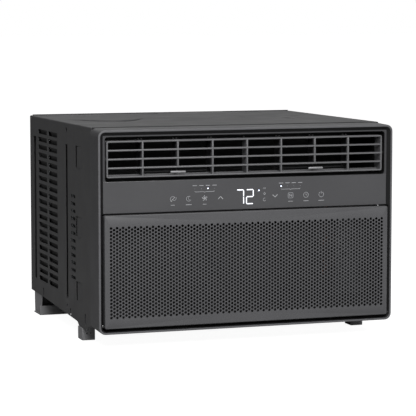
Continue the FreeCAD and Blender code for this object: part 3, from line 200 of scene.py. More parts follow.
# Light grey for the pin tips and the vanes' paddles: a painted highlight where they sit in the outlet's
# shade.
tips_painted_highlight = grainy("moulded_acetal_pin_tips", "#8a8a8c", "#929294", 0.4, 1.0, 0.01)
abs_bars = grainy("spark_grained_abs_bars", "#626264", "#666668", 0.4, 0.9, 0.01)
abs_black = grainy("moulded_abs_black", "#0b0b0c", "#0e0e0f", 0.6, 1.2, 0.02)
abs_vane = grainy("moulded_abs_vanes", "#1d1d1f", "#212123", 0.5, 1.0, 0.01)
acrylic = grainy("acrylic_capped_abs", "#48484a", "#4a4a4c", 0.36, 6.0, 0.004, patch=120)
polypropylene = grainy("moulded_polypropylene", "#18181a", "#1f1f21", 0.5, 1.5, 0.02)

# %% [markdown]
# ## Inside finishes
# White foam for the scroll, foam painted near black for the tray that shows through the grille as painted
# shade, zinc-coated sheet with its spangle, bright fins, drawn copper, enamel, rubber, and green
# laminate. The spangle is a Voronoi pattern with 8 mm cells, which is a real size.

# %% Inside finishes


def spangled(name, colour, roughness):
    """Hot-dip zinc: flat crystals that differ in brightness."""
    material, tree, shader = shader_of(name, colour, roughness, Metallic=1.0)
    where = node(tree, "ShaderNodeTexCoord").outputs["Object"]
    cells = node(tree, "ShaderNodeTexVoronoi", {"Vector": where, "Scale": per_metre(8)})
    shade = node(tree, "ShaderNodeSeparateColor", {"Color": cells.outputs["Color"]})
    tint = node(tree, "ShaderNodeMapRange", {"Value": shade.outputs[0], "To Min": roughness - 0.08,
                                             "To Max": roughness + 0.12})
    tree.links.new(tint.outputs["Result"], shader.inputs["Roughness"])
    return material


foam = grainy("expanded_polystyrene", "#e4e4e0", "#efefec", 0.85, 4.0, 0.15)
# Near black for the drip tray behind the grille: painted shade behind the perforations.
tray_painted_shade = grainy("expanded_polypropylene_black", "#131314", "#18181a", 0.85, 4.0, 0.1)
zinc = spangled("galvanised_sheet", "#9b9fa1", 0.38)
fin_metal = grainy("aluminium_fins", "#b4b7ba", "#c4c7ca", 0.38, 1.5, 0.02, Metallic=1.0)
copper = grainy("drawn_copper", "#b4704f", "#c48262", 0.32, 12, 0.01, Metallic=1.0)
# Black enamel for the motor, compressor and accumulator; on the condenser's bends the same black is painted
# shade.
enamel_and_painted_shade = grainy("black_enamel", "#121214", "#17171a", 0.28, 8.0, 0.01)
bright_steel = grainy("zinc_plated_steel", "#8d8f91", "#a2a4a6", 0.35, 6.0, 0.01, Metallic=1.0)
rubber = grainy("moulded_rubber", "#151515", "#1b1b1b", 0.75, 1.5, 0.03)
laminate = grainy("epoxy_glass_laminate", "#0f4a28", "#14552f", 0.4, 2.0, 0.01)
netting = grainy("woven_nylon_net", "#131314", "#19191a", 0.6, 1.0, 0.02)
wire_coat = grainy("coated_steel_wire", "#1a1a1b", "#202021", 0.45, 2.0, 0.01)
ink = grainy("printed_grey_ink", "#a4a5a8", "#acadb0", 0.5, 1.0, 0.002, Emission_Color=linear("#a4a5a8"),
             Emission_Strength=0.12)

# %% [markdown]
# ## Light
# The digits and indicator dots are lit from behind. White light-emitting diodes behind a diffuser are
# even and slightly cool. The printed ink above has only a trace of that glow.

# %% Lit display
lit_white = shader_of("lit_diffuser_white", "#f4f7ff", 0.4, Emission_Color=linear("#f2f6ff"),
                      Emission_Strength=1.15)[0]

# %% [markdown]
# ## A shape in plain lists
# Most pieces are lofts: the same outline is repeated with a new size and depth, and neighbouring rings
# are joined by quads. That gives exact control over each rounded edge, where a Bevel modifier would
# round all of them alike.

# %% Shape builder


def rounded(x0, x1, z0, z1, radius, steps=4):
    """Outline points of a rounded rectangle, anticlockwise from its lower right corner."""
    points = []
    corners = ((x1 - radius, z0 + radius, 270), (x1 - radius, z1 - radius, 0),
               (x0 + radius, z1 - radius, 90), (x0 + radius, z0 + radius, 180))
    for x, z, start in corners:
        for step in range(steps + 1):
            angle = math.radians(start + 90 * step / steps)
            points.append((x + radius * math.cos(angle), z + radius * math.sin(angle)))
    return points


def ring(depth, x0, x1, z0, z1, radius, steps=4):
    """A rounded rectangle that faces the front, at a depth behind the crest."""
    return [Vector((x, CREST + depth, z)) for x, z in rounded(x0, x1, z0, z1, radius, steps)]


LARGEST_SMOOTH = 400 * MM * MM


class Shape:
    """Points in millimetres and faces with a material number each."""

    def __init__(self):
        self.points = []
        self.faces = []
        self.slots = []

    def add(self, points, faces, slot=0):
        first = len(self.points)
        self.points.extend(Vector(point) for point in points)
        self.faces.extend([first + index for index in face] for face in faces)
        self.slots.extend([slot] * len(faces))

    def loft(self, rings, closed=False, caps=False, slot=0):
        """Joins rings of equal length; closed joins the last to the first, caps fills both ends."""
        count = len(rings[0])
        points = [point for outline in rings for point in outline]
        faces = []
        for index in range(len(rings) if closed else len(rings) - 1):
            here = index * count
            there = (index + 1) % len(rings) * count
            for step in range(count):
                after = (step + 1) % count
                faces.append((here + step, here + after, there + after, there + step))
        if caps:
            faces.append(tuple(range(count))[::-1])
            faces.append(tuple(range((len(rings) - 1) * count, len(rings) * count)))
        self.add(points, faces, slot)

    def slab(self, low, high, edge=0.5, axis=1, corner=None, slot=0):
        """A block with rounded edges: two small bevel steps at each end of the given axis."""
        across, up = [number for number in range(3) if number != axis]
        corner = edge if corner is None else corner
        inset = edge * 0.3
        stations = ((low[axis], edge), (low[axis] + inset, inset), (low[axis] + edge, 0),
                    (high[axis] - edge, 0), (high[axis] - inset, inset), (high[axis], edge))
        rings = []
        for place, shrink in stations:
            outline = rounded(low[across] + shrink, high[across] - shrink, low[up] + shrink,
                              high[up] - shrink, max(corner - shrink, 0.05), 2)
            points = []
            for a, b in outline:
                point = [0, 0, 0]
                point[axis], point[across], point[up] = place, a, b
                points.append(point)
            rings.append(points)
        self.loft(rings, caps=True, slot=slot)

    def rod(self, start, end, radius, sides=12, slot=0):
        """A round bar between two points."""
        start, end = Vector(start), Vector(end)
        turn = (end - start).to_track_quat("Z", "Y")
        blunt = 0.2
        lead = (end - start).normalized() * radius * blunt
        tip = radius * (1 - blunt)
        rings = []
        for middle, size in ((start, tip), (start + lead, radius), (end - lead, radius), (end, tip)):
            rings.append([middle + turn @ Vector((size * math.cos(math.tau * step / sides),
                                                  size * math.sin(math.tau * step / sides), 0))
                          for step in range(sides)])
        self.loft(rings, caps=True, slot=slot)

    def make(self, name, *materials, smooth=35):
        """A mesh object with merged points, outward faces and edges sharper than `smooth` degrees kept."""
        mesh = bpy.data.meshes.new(name)
        mesh.from_pydata([point * MM for point in self.points], [], self.faces)
        for material in materials:
            mesh.materials.append(material)
        mesh.polygons.foreach_set("material_index", self.slots)
        return finish_mesh(name, mesh, smooth)

    def mesh(self, name, *materials):
        """The finished mesh alone, to be copied by a tree or joined to others."""
        thing = self.make(name, *materials)
        mesh = thing.data
        bpy.data.objects.remove(thing)
        return mesh


def finish_mesh(name, mesh, smooth=35):
    """Merges doubles, turns faces outwards and links the object; large flats stay flat-shaded."""
    work = bmesh.new()
    work.from_mesh(mesh)
    bmesh.ops.remove_doubles(work, verts=work.verts, dist=0.002 * MM)
    bmesh.ops.recalc_face_normals(work, faces=work.faces)
    for face in work.faces:
        face.smooth = face.calc_area() < LARGEST_SMOOTH
    for edge in work.edges:
        if len(edge.link_faces) == 2 and edge.calc_face_angle(0) > math.radians(smooth):
            edge.smooth = False
    work.to_mesh(mesh)
    work.free()
    thing = bpy.data.objects.new(name, mesh)
    bpy.context.collection.objects.link(thing)
    print(f"{name}: {len(mesh.polygons)} faces")
    return thing


def settle(thing, body, slot, *nodes):
    """Rides on its body and stands for its CAD nodes; slot is not used."""
    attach(thing, body)
    if nodes:
        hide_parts(*nodes)
    return thing


# %% [markdown]
# ## Two Geometry Nodes trees
# **rows_of_openings** adds a grid of rounded openings, as outlines, to the outline of a sheet. A round
# hole is a square whose corner radius is half its side, so one tree cuts slots and perforations.
# **punched_sheet** then fills everything between the outlines and gives the sheet its thickness.
# **rows_of_copies** repeats a small mesh on the same kind of grid: louvre flaps, fins, threads.

# %% Geometry Nodes helpers


def new_tree(name, **sizes):
    """A geometry tree with a Geometry input and named sizes; returns (tree, group input)."""
    tree = bpy.data.node_groups.new(name, "GeometryNodeTree")
    tree.interface.new_socket("Geometry", in_out="INPUT", socket_type="NodeSocketGeometry")
    tree.interface.new_socket("Geometry", in_out="OUTPUT", socket_type="NodeSocketGeometry")
    for label, value in sizes.items():
        kind = "NodeSocketInt" if isinstance(value, int) else "NodeSocketFloat"
        kind = "NodeSocketMaterial" if value is None else kind
        socket = tree.interface.new_socket(label.replace("_", " "), in_out="INPUT", socket_type=kind)
        if value is not None:
            socket.default_value = value
    return tree, node(tree, "NodeGroupInput")


def grid_points(tree, given):
    """Points of a grid whose first point is at (First Across, First Up)."""
    def product(count, step):
        fewer = node(tree, "ShaderNodeMath", {0: given.outputs[count], 1: 1.0}, operation="SUBTRACT")
        return node(tree, "ShaderNodeMath", {0: fewer.outputs[0], 1: given.outputs[step]},
                    operation="MULTIPLY").outputs[0]
    wide = product("Columns", "Step Across")
    tall = product("Rows", "Step Up")
    grid = node(tree, "GeometryNodeMeshGrid", {"Size X": wide, "Size Y": tall,
                                               "Vertices X": given.outputs["Columns"],
                                               "Vertices Y": given.outputs["Rows"]})
    half_wide = node(tree, "ShaderNodeMath", {0: wide, 1: 0.5, 2: given.outputs["First Across"]},
                     operation="MULTIPLY_ADD")
    half_tall = node(tree, "ShaderNodeMath", {0: tall, 1: 0.5, 2: given.outputs["First Up"]},
                     operation="MULTIPLY_ADD")
    shift = node(tree, "ShaderNodeCombineXYZ", {"X": half_wide.outputs[0], "Y": half_tall.outputs[0]})
    moved = node(tree, "GeometryNodeTransform", {"Geometry": grid.outputs["Mesh"],
                                                 "Translation": shift.outputs[0]})
    return moved.outputs["Geometry"]


GRID_SIZES = dict(Columns=1, Rows=1, Step_Across=0.01, Step_Up=0.01, First_Across=0.0, First_Up=0.0)


def end_tree(tree, given, geometry):
    """Closes a tree: real geometry, one material, output."""
    real = node(tree, "GeometryNodeRealizeInstances", {"Geometry": geometry})
    painted = node(tree, "GeometryNodeSetMaterial", {"Geometry": real.outputs[0],
                                                     "Material": given.outputs["Material"]})
    node(tree, "NodeGroupOutput", {"Geometry": painted.outputs[0]})
    return tree


def make_rows_of_openings():
    tree, given = new_tree("rows_of_openings", Long=0.01, Tall=0.01, Corner=0.001, Corner_Points=3,
                           **GRID_SIZES)
    outline = node(tree, "GeometryNodeCurvePrimitiveQuadrilateral", {"Width": given.outputs["Long"],
                                                                     "Height": given.outputs["Tall"]})
    soft = node(tree, "GeometryNodeFilletCurve", {"Curve": outline.outputs[0],
                                                  "Count": given.outputs["Corner Points"],
                                                  "Radius": given.outputs["Corner"]}, mode="POLY")
    placed = node(tree, "GeometryNodeInstanceOnPoints", {"Points": grid_points(tree, given),
                                                         "Instance": soft.outputs[0]})
    real = node(tree, "GeometryNodeRealizeInstances", {"Geometry": placed.outputs[0]})
    wires = node(tree, "GeometryNodeCurveToMesh", {"Curve": real.outputs[0]})
    both = node(tree, "GeometryNodeJoinGeometry")
    tree.links.new(given.outputs["Geometry"], both.inputs[0])
    tree.links.new(wires.outputs[0], both.inputs[0])
    node(tree, "NodeGroupOutput", {"Geometry": both.outputs[0]})
    return tree


def make_punched_sheet():
    tree, given = new_tree("punched_sheet", Thickness=0.001, Material=None)
    merged = node(tree, "GeometryNodeMergeByDistance", {"Geometry": given.outputs["Geometry"],
                                                        "Distance": 0.00001})
    curves = node(tree, "GeometryNodeMeshToCurve", {"Mesh": merged.outputs[0]})
    face = node(tree, "GeometryNodeFillCurve", {"Curve": curves.outputs[0]})
    depth = node(tree, "ShaderNodeCombineXYZ", {"Z": given.outputs["Thickness"]})
    raised = node(tree, "GeometryNodeExtrudeMesh", {"Mesh": face.outputs[0], "Offset": depth.outputs[0],
                                                    "Individual": False})
    back = node(tree, "GeometryNodeFlipFaces", {"Mesh": face.outputs[0]})
    both = node(tree, "GeometryNodeJoinGeometry")
    tree.links.new(raised.outputs[0], both.inputs[0])
    tree.links.new(back.outputs[0], both.inputs[0])
    welded = node(tree, "GeometryNodeMergeByDistance", {"Geometry": both.outputs[0], "Distance": 0.000002})
    return end_tree(tree, given, welded.outputs[0])


def make_rows_of_copies():
    tree, given = new_tree("rows_of_copies", Material=None, **GRID_SIZES)
    placed = node(tree, "GeometryNodeInstanceOnPoints", {"Points": grid_points(tree, given),
                                                         "Instance": given.outputs["Geometry"]})
    return end_tree(tree, given, placed.outputs[0])


openings_tree = make_rows_of_openings()
sheet_tree = make_punched_sheet()
copies_tree = make_rows_of_copies()


def grow(mesh, steps, turn=None):
    """Runs trees on a mesh one after another and returns the plain result, turned into place."""
    thing = bpy.data.objects.new("growing", mesh)
    bpy.context.collection.objects.link(thing)
    for tree, sizes in steps:
        modifier = thing.modifiers.new(tree.name, "NODES")
        modifier.node_group = tree
        for item in tree.interface.items_tree:
            label = item.name.replace(" ", "_")
            if item.in_out == "INPUT" and label in sizes:
                modifier[item.identifier] = sizes[label]
    depsgraph = bpy.context.evaluated_depsgraph_get()
    result = bpy.data.meshes.new_from_object(thing.evaluated_get(depsgraph), depsgraph=depsgraph)
    bpy.data.objects.remove(thing)
    if turn:
        for vertex in result.vertices:
            vertex.co = turn(vertex.co)
    return result


def outlines(*loops):
    """A mesh of closed edge loops in the XY plane, from lists of (x, y) in millimetres."""
    points = []
    edges = []
    for loop in loops:
        first = len(points)
        points.extend((x * MM, y * MM, 0) for x, y in loop)
        edges.extend((first + index, first + (index + 1) % len(loop)) for index in range(len(loop)))
    mesh = bpy.data.meshes.new("outlines")
    mesh.from_pydata(points, edges, [])
    return mesh


def on_grid(columns, rows, step_across, step_up, first_across, first_up):
    """The six grid inputs, from counts and millimetres."""
    return dict(Columns=columns, Rows=rows, Step_Across=step_across * MM, Step_Up=step_up * MM,
                First_Across=first_across * MM, First_Up=first_up * MM)


def openings(long, tall, corner, *grid, points=3):
    """One rows_of_openings step: an opening's size and corner radius, then the grid's six values."""
    return openings_tree, dict(Long=long * MM, Tall=tall * MM, Corner=corner * MM, Corner_Points=points,
                               **on_grid(*grid))


def copies(material, *grid):
    """One rows_of_copies step: a material, then the grid's six values."""
    return copies_tree, dict(Material=material, **on_grid(*grid))


def sheet(material, thickness):
    """One punched_sheet step."""
    return sheet_tree, dict(Thickness=thickness * MM, Material=material)


def stand_up(co):
    """Turns what was laid out flat so that its second axis points up."""
    return Vector((co.x, co.z, co.y))


def join_meshes(name, meshes, smooth=35):
    """Several meshes, each with its own material, as one object."""
    things = []
    for mesh in meshes:
        thing = bpy.data.objects.new(name, mesh)
        bpy.context.collection.objects.link(thing)
        things.append(thing)
    with bpy.context.temp_override(active_object=things[0], selected_editable_objects=things):
        bpy.ops.object.join()
    joined = things[0].data
    bpy.data.objects.remove(things[0])
    return finish_mesh(name, joined, smooth)


# %% [markdown]
# ## The bezel
# A moulded frame: flat sides, a narrow flat rim painted lighter as a painted highlight, a slope painted
# near black as painted shade, and a set-back ledge round the outlet and the touch panel. The top wall
# falls 1 mm towards the front for mould release. The shell is lofted from the rear edge, over the crest
# and back again, in three stretches with a finish each. The frame round the outlet and the outlet's mouth
# are two more lofts.

# %% Bezel
CREST_ROUND = 1.0
CORNER = 11
WALL = 3
RIM = 3.0
MOUTH = 12
SLOPE_END = 6.1
LEDGE = 8.7
LEDGE_DEEP = 5.2
FRONT_DEEP = 12.0
REAR = bezel_high.y - CREST
GRILLE_TOP = grille_high.z
OUTLET_LOW = panel_high.z + 1
OUTLET_HIGH = bezel_high.z - 12.6
DRAFT = 1.0
SEAM_STEP = 0.8
CREST_TOP = bezel_high.z - SEAM_STEP - DRAFT


def bezel_ring(depth, inset, corner):
    """The outer outline at a depth, moved in by an inset; the top falls and the foot drops forwards."""
    back = max(depth, 0) / REAR
    return ring(depth, inset - HALF, HALF - inset, bezel_low.z + inset + 2 * DRAFT * back,
                CREST_TOP + DRAFT * back - inset, max(corner - inset, 0.5), 6)


def crest_rings():
    """The rings of the rounded front edge, with one more just behind it."""
    rings = [bezel_ring(CREST_ROUND + 0.5, 0, CORNER)]
    for step in range(5):
        angle = math.radians(90 * step / 4)
        rings.append(bezel_ring(CREST_ROUND * (1 - math.sin(angle)), CREST_ROUND * (1 - math.cos(angle)),
                                CORNER))
    return rings


def make_bezel():
    shape = Shape()
    top = CREST_TOP
    crest = crest_rings()
    slope = LEDGE_DEEP * (SLOPE_END - RIM) / (LEDGE - RIM)
    inner_top = CREST_TOP - LEDGE

    def opening(depth, inset, corner=7.0):
        return ring(depth, inset - HALF, HALF - inset, bezel_low.z + 4.4, top - inset, corner, 6)
    outside = [bezel_ring(REAR, WALL, CORNER), bezel_ring(REAR, 0.4, CORNER),
               bezel_ring(REAR - 0.4, 0, CORNER)]
    rim = crest[1:] + [bezel_ring(0, RIM, CORNER), bezel_ring(0.25, RIM + 0.3, CORNER)]
    inside = [opening(slope, SLOPE_END), opening(FRONT_DEEP, SLOPE_END), bezel_ring(FRONT_DEEP, WALL, CORNER)]
    shape.loft(outside + crest[:2])
    # Slot 3 paints the rim lighter as a painted highlight; slot 2 paints the slope near black as painted
    # shade.
    shape.loft(rim, slot=3)
    shape.loft([rim[-1]] + inside + [outside[0]], slot=2)

    def upper(depth, side, low, high, corner):
        return ring(depth, side - HALF, HALF - side, low, high, corner, 6)
    low = GRILLE_TOP + 1.7
    shape.loft([upper(FRONT_DEEP, SLOPE_END, low, top - SLOPE_END, 0.6),
                upper(slope, SLOPE_END, low, top - SLOPE_END, 0.6),
                upper(LEDGE_DEEP, LEDGE, low + 0.4, inner_top, 0.5),
                upper(FRONT_DEEP, LEDGE, low + 0.4, inner_top, 0.5)], closed=True, slot=2)
    mouth = [upper(LEDGE_DEEP, LEDGE - 0.1, OUTLET_LOW - 2, inner_top + 0.1, 0.4),
             upper(LEDGE_DEEP, MOUTH, OUTLET_LOW, OUTLET_HIGH, 4.5),
             upper(LEDGE_DEEP + 1.5, MOUTH + 0.1, OUTLET_LOW, OUTLET_HIGH, 4.5)]
    shape.loft(mouth)
    shape.loft([mouth[-1], upper(REAR, MOUTH, OUTLET_LOW, OUTLET_HIGH, 4.5),
                upper(REAR, 8.6, OUTLET_LOW - 2.4, OUTLET_HIGH + 2.4, 6), mouth[0]], slot=1)
    bezel = shape.make("bezel", abs_grey, abs_black, slope_painted_shade, rim_painted_highlight)
    return settle(bezel, "chassis", "bezel_plastic", "front_bezel")


make_bezel()

# %% [markdown]
# ## The touch panel
# One flat sheet behind the ledge. Its marks are printed or lit from behind, so they are inlays a
# twentieth of a millimetre thick. The temperature is a pair of seven-segment numerals. The words under
# the symbols are replaced by plain dashes.

# %% Touch panel
MARK = 0.06
PANEL_FACE = panel_low.y
DIGIT_WIDE = 11.6
DIGIT_TALL = 22.6
SEGMENT = 1.4
ROW = 236.8
INNER, MIDDLE, OUTER = 73.3, 100, 126.6
FINE = 0.62


def make_panel():
    shape = Shape()
    reach = HALF - LEDGE - 0.1
    shape.slab((-reach, PANEL_FACE, GRILLE_TOP + 2.2), (reach, panel_high.y, OUTLET_LOW), 0.5)
    return settle(shape.make("touch_panel", acrylic), "chassis", "panel_gloss", "control_panel")


def stroke(shape, points, width, slot=0):
    """A thin inlay along (x, z) points, one flat bar for each stretch."""
    for (x0, z0), (x1, z1) in zip(points, points[1:]):
        along = Vector((x1 - x0, 0, z1 - z0))
        if along.length < 1e-6:
            continue
        side = Vector((-along.z, 0, along.x)).normalized() * width / 2
        reach = along.normalized() * width * 0.25
        start, end = Vector((x0, PANEL_FACE, z0)) - reach, Vector((x1, PANEL_FACE, z1)) + reach
        corners = [start - side, end - side, end + side, start + side]
        front = [corner - Vector((0, MARK, 0)) for corner in corners]
        shape.loft([corners, front], caps=True, slot=slot)


def arc(x, z, radius, start, end, steps=14):
    """Points (x, z) along an arc, with its angles in degrees."""
    return [(x + radius * math.cos(math.radians(start + (end - start) * step / steps)),
             z + radius * math.sin(math.radians(start + (end - start) * step / steps)))
            for step in range(steps + 1)]


def digit(shape, x, z, lit):
    """Seven-segment numeral with its lower left corner at (x, z); lit is a string of segment letters."""
    half = DIGIT_TALL / 2
    gap = SEGMENT * 0.75
    ends = {"a": ((gap, DIGIT_TALL), (DIGIT_WIDE - gap, DIGIT_TALL)),
            "b": ((DIGIT_WIDE, DIGIT_TALL - gap), (DIGIT_WIDE, half + gap)),
            "c": ((DIGIT_WIDE, half - gap), (DIGIT_WIDE, gap)),
            "d": ((gap, 0), (DIGIT_WIDE - gap, 0)),
            "e": ((0, half - gap), (0, gap)),
            "f": ((0, DIGIT_TALL - gap), (0, half + gap)),
            "g": ((gap, half), (DIGIT_WIDE - gap, half))}
    for letter in lit:
        (x0, z0), (x1, z1) = ends[letter]
        stroke(shape, [(x + x0, z + z0), (x + x1, z + z1)], SEGMENT)


def make_numerals():
    """The lit temperature, its degree dot and the lit dot of each indicator row."""
    digits = Shape()
    digit(digits, -19.0, 225.6, "abc")
    digit(digits, -2.5, 225.6, "abdeg")
    for x, z, size in ((18.7, 246.4, 0.95), (-67.8, 252.2, 0.9), (56.8, 252.2, 0.9)):
        stroke(digits, arc(x, z, size * 0.5, 0, 360, 8), size)
    settle(digits.make("lit_numerals", lit_white), "chassis", "display", "digit_display")


def touch_symbols(marks):
    """The row of symbols: two arrows, then three plain signs at each end, each over a dash."""
    for x, lift in ((-46.5, 1), (46.5, -1)):
        stroke(marks, [(x - 4, ROW - 2 * lift), (x, ROW + 2 * lift), (x + 4, ROW - 2 * lift)], 0.8)
    for turn in range(5):
        angle = math.radians(90 + 72 * turn)
        tip = (-INNER + 4.3 * math.cos(angle), ROW + 4.3 * math.sin(angle))
        bend = (-INNER + 2.6 * math.cos(angle + 0.55), ROW + 2.6 * math.sin(angle + 0.55))
        stroke(marks, [(-INNER, ROW), bend, tip], 1.0)
    stroke(marks, arc(-MIDDLE, ROW, 3.9, 60, 330), FINE)
    stroke(marks, arc(-97.5, ROW + 0.8, 3.0, 95, 250), FINE)
    stroke(marks, arc(-OUTER, ROW, 4.2, 20, 250), FINE)
    stroke(marks, [(-129.6, ROW - 3.6), (-123.7, ROW + 2.8)], FINE)
    stroke(marks, arc(-124.3, ROW + 1.4, 3.4, 200, 380), FINE)
    square = [(x + INNER, z + ROW) for x, z in rounded(-4.2, 4.2, -4.2, 4.2, 1.3, 3)]
    stroke(marks, square + square[:1], FINE)
    stroke(marks, [(71.4, ROW - 2), (71.4, ROW + 2.2), (75.2, ROW - 2), (75.2, ROW + 2.2)], FINE)
    stroke(marks, arc(MIDDLE, ROW, 4.2, 0, 360, 20), FINE)
    stroke(marks, [(MIDDLE, ROW + 2.6), (MIDDLE, ROW), (102.2, ROW - 0.8)], FINE)
    stroke(marks, arc(OUTER, ROW, 4.2, 120, 420, 18), FINE)
    stroke(marks, [(OUTER, ROW + 5.0), (OUTER, ROW + 1.4)], FINE)
    for x, half in ((-OUTER, 3.0), (-MIDDLE, 4.6), (-INNER, 2.8), (INNER, 4.0), (MIDDLE, 4.2), (OUTER, 4.6)):
        stroke(marks, [(x - half, ROW - 9.6), (x + half, ROW - 9.6)], 0.75)


def indicator_marks(marks):
    """Two rows of four indicators, each row over a bracket, and the small marks by the digits."""
    for middle in (-INNER, INNER):
        for step in range(4):
            x = middle - 16.5 + 11 * step
            stroke(marks, [(x - 3.4, 257.2), (x + 3.4, 257.2)], 0.75)
            stroke(marks, [(x - 0.25, 252.2), (x + 0.25, 252.2)], 0.5)
        bracket = ((-16.5, 248.2), (-15.6, 247.2), (-1.2, 247.2), (0, 246.2), (1.2, 247.2), (15.6, 247.2),
                   (16.5, 248.2))
        stroke(marks, [(middle + x, z) for x, z in bracket], 0.55)
    for radius in (3.2, 1.7):
        stroke(marks, arc(28.4, 247.4, radius, 40, 140, 8), FINE)
    stroke(marks, [(28.4, 243.0), (30.2, 241.0), (28.4, 239.0), (26.6, 241.0), (28.4, 243.0)], FINE)
    stroke(marks, arc(28.4, 231.5, 2.4, 70, 330, 10), FINE)


def make_symbols():
    marks = Shape()
    touch_symbols(marks)
    indicator_marks(marks)
    settle(marks.make("printed_symbols", ink), "chassis", "display")


make_panel()
make_numerals()
make_symbols()

# %% [markdown]
# ## The intake grille
# A steel sheet with 2423 round holes on a sixty-degree stagger, folded back at its edges. The stagger is
# two plain grids, one set half a step across and up from the other. **rows_of_openings** draws both,
# **punched_sheet** fills between them. Twelve points make each hole round enough at this size.

# %% Intake grille
HOLE = 4.4
STEP_UP = 5.668
STEP_ACROSS = 2 * STEP_UP * math.cos(math.radians(30))
COLUMNS = 48
ROWS = 26
FIELD_LOW = 53.1
SHEET = 1.2
GRILLE_SIDE = HALF - 8.9
FACE_INSET = 1.3


def make_grille():
    left = -STEP_ACROSS * (COLUMNS - 1) / 2
    low = grille_low.z
    face = rounded(FACE_INSET - GRILLE_SIDE, GRILLE_SIDE - FACE_INSET, low + FACE_INSET,
                   GRILLE_TOP - FACE_INSET, 3 - FACE_INSET, 4)
    hole = (HOLE, HOLE, HOLE / 2 - 0.001)
    steps = [openings(*hole, COLUMNS, ROWS, STEP_ACROSS, STEP_UP, left, FIELD_LOW),
             openings(*hole, COLUMNS - 1, ROWS - 1, STEP_ACROSS, STEP_UP, left + STEP_ACROSS / 2,
                      FIELD_LOW + STEP_UP / 2),
             sheet(powder_grey, SHEET)]
    front = grille_low.y * MM
    plate = grow(outlines(face), steps, lambda co: Vector((co.x, front + co.z, co.y)))
    proud = CREST - grille_low.y

    def edge(depth, inset):
        return ring(depth - proud, inset - GRILLE_SIDE, GRILLE_SIDE - inset, low + inset, GRILLE_TOP - inset,
                    3 - inset, 4)
    shape = Shape()
    shape.loft([edge(0, FACE_INSET), edge(0.15, 0.75), edge(0.5, 0.3), edge(1.1, 0.0), edge(9 + proud, 0.0),
                edge(9 + proud, 1.2), edge(SHEET, FACE_INSET)])
    for side in (-1, 1):
        left, right = sorted((side * GRILLE_SIDE, side * (GRILLE_SIDE - 2)))
        shape.slab((left, CREST + 9, low + 6), (right, CREST + 18, GRILLE_TOP - 1), 0.3)
        pin = [(side * x, CREST + 3, low + 3) for x in (GRILLE_SIDE - 1, grille_high.x)]
        shape.rod(*pin, 2.0, slot=1)
    grille = join_meshes("perforated_grille", [plate, shape.mesh("grille_edge", powder_grey, abs_black)])
    return settle(grille, "intake_grille", "grille_steel", "intake_grille")


make_grille()

# %% [markdown]
# ## The louvre grid
# Thin moulded bars, five level and nine upright, with end cheeks and two rails that carry the vane
# pins. Of the seven inner uprights the second and sixth stop short, so that the paddles can swing in
# the lowest row.

# %% Louvre grid
BAR = 2.7
GRID_SIDE = HALF - 15.4
LEVEL_STEP = (grid_high.z - grid_low.z - BAR) / 4
UPRIGHT_STEP = (2 * GRID_SIDE - BAR) / 8
GRID_FRONT = grid_low.y
GRID_BACK = CREST + 15


def make_louvre_grid():
    shape = Shape()
    low, high = grid_low.z, grid_high.z

    def hoop(y, inset):
        return [Vector((x, y, z)) for x, z in rounded(inset - GRID_SIDE, GRID_SIDE - inset, low + inset,
                                                      high - inset, max(3.2 - inset, 0.4), 5)]
    shape.loft([hoop(GRID_FRONT + 0.7, 0), hoop(GRID_FRONT + 0.15, 0.45), hoop(GRID_FRONT, BAR / 2),
                hoop(GRID_FRONT + 0.15, BAR - 0.45), hoop(GRID_FRONT + 0.7, BAR), hoop(GRID_BACK, BAR),
                hoop(GRID_BACK, 0)], closed=True)
    for index in range(1, 4):
        z = low + index * LEVEL_STEP
        shape.slab((BAR * 0.6 - GRID_SIDE, GRID_FRONT + 0.1, z), (GRID_SIDE - BAR * 0.6, GRID_BACK, z + BAR),
                   0.6, axis=0, corner=0.9)
    for index in range(-3, 4):
        x = index * UPRIGHT_STEP
        foot = low + (LEVEL_STEP + BAR * 0.4 if abs(index) == 2 else BAR * 0.6)
        shape.slab((x - BAR / 2, GRID_FRONT + 0.1, foot), (x + BAR / 2, GRID_BACK, high - BAR * 0.6), 0.6,
                   axis=2, corner=0.9)
    for side in (-1, 1):
        left, right = sorted((side * GRID_SIDE, side * (GRID_SIDE - BAR)))
        shape.slab((left, GRID_BACK - 0.2, low + 0.6), (right, CREST + 32, high - 0.6), 0.4, axis=0)
        pin = [(side * x, CREST + 17, (low + high) / 2) for x in (GRID_SIDE - 1, grid_high.x)]
        shape.rod(*pin, 3.0, 16)
    for rail_low, rail_high in ((low, low + 4), (high - 4, high)):
        shape.slab((1 - GRID_SIDE, CREST + 22, rail_low), (GRID_SIDE - 1, CREST + 30, rail_high), 0.4, axis=0)
    # The pin tips on the top rail are painted light grey: a painted highlight.
    for index in range(-3, 4):
        offsets = (0,) if index == 0 else (-2.6, 2.6)
        for offset in offsets:
            x = index * UPRIGHT_STEP + offset
            shape.slab((x - 1.3, CREST + 24.2, high - 0.2), (x + 1.3, CREST + 26.8, high + 2.1), 0.4,
                       axis=2, slot=1)
    shape.slab((-BAR / 2, GRID_BACK - 0.2, low + 1), (BAR / 2, CREST + 30, high - 1), 0.4, axis=2)
    bars = shape.make("louvre_bars", abs_bars, tips_painted_highlight)
    return settle(bars, "louvre_grid", "louvre_plastic", "louvre_grid")


make_louvre_grid()

# %% [markdown]
# ## The master vanes
# Behind the grid stand six upright blades. The middle one of each three has a finger paddle that
# reaches out through the lowest row. A notch at its rear lets the link bar pass.

# %% Master vanes
VANE_FRONT = 17.4
VANE_BACK = 39.0
PIVOT_DEEP = 25.6
LINK_DEEP = 35.6
NOTCH = (30.5, 280.6)
PADDLE_LOW = 278.6


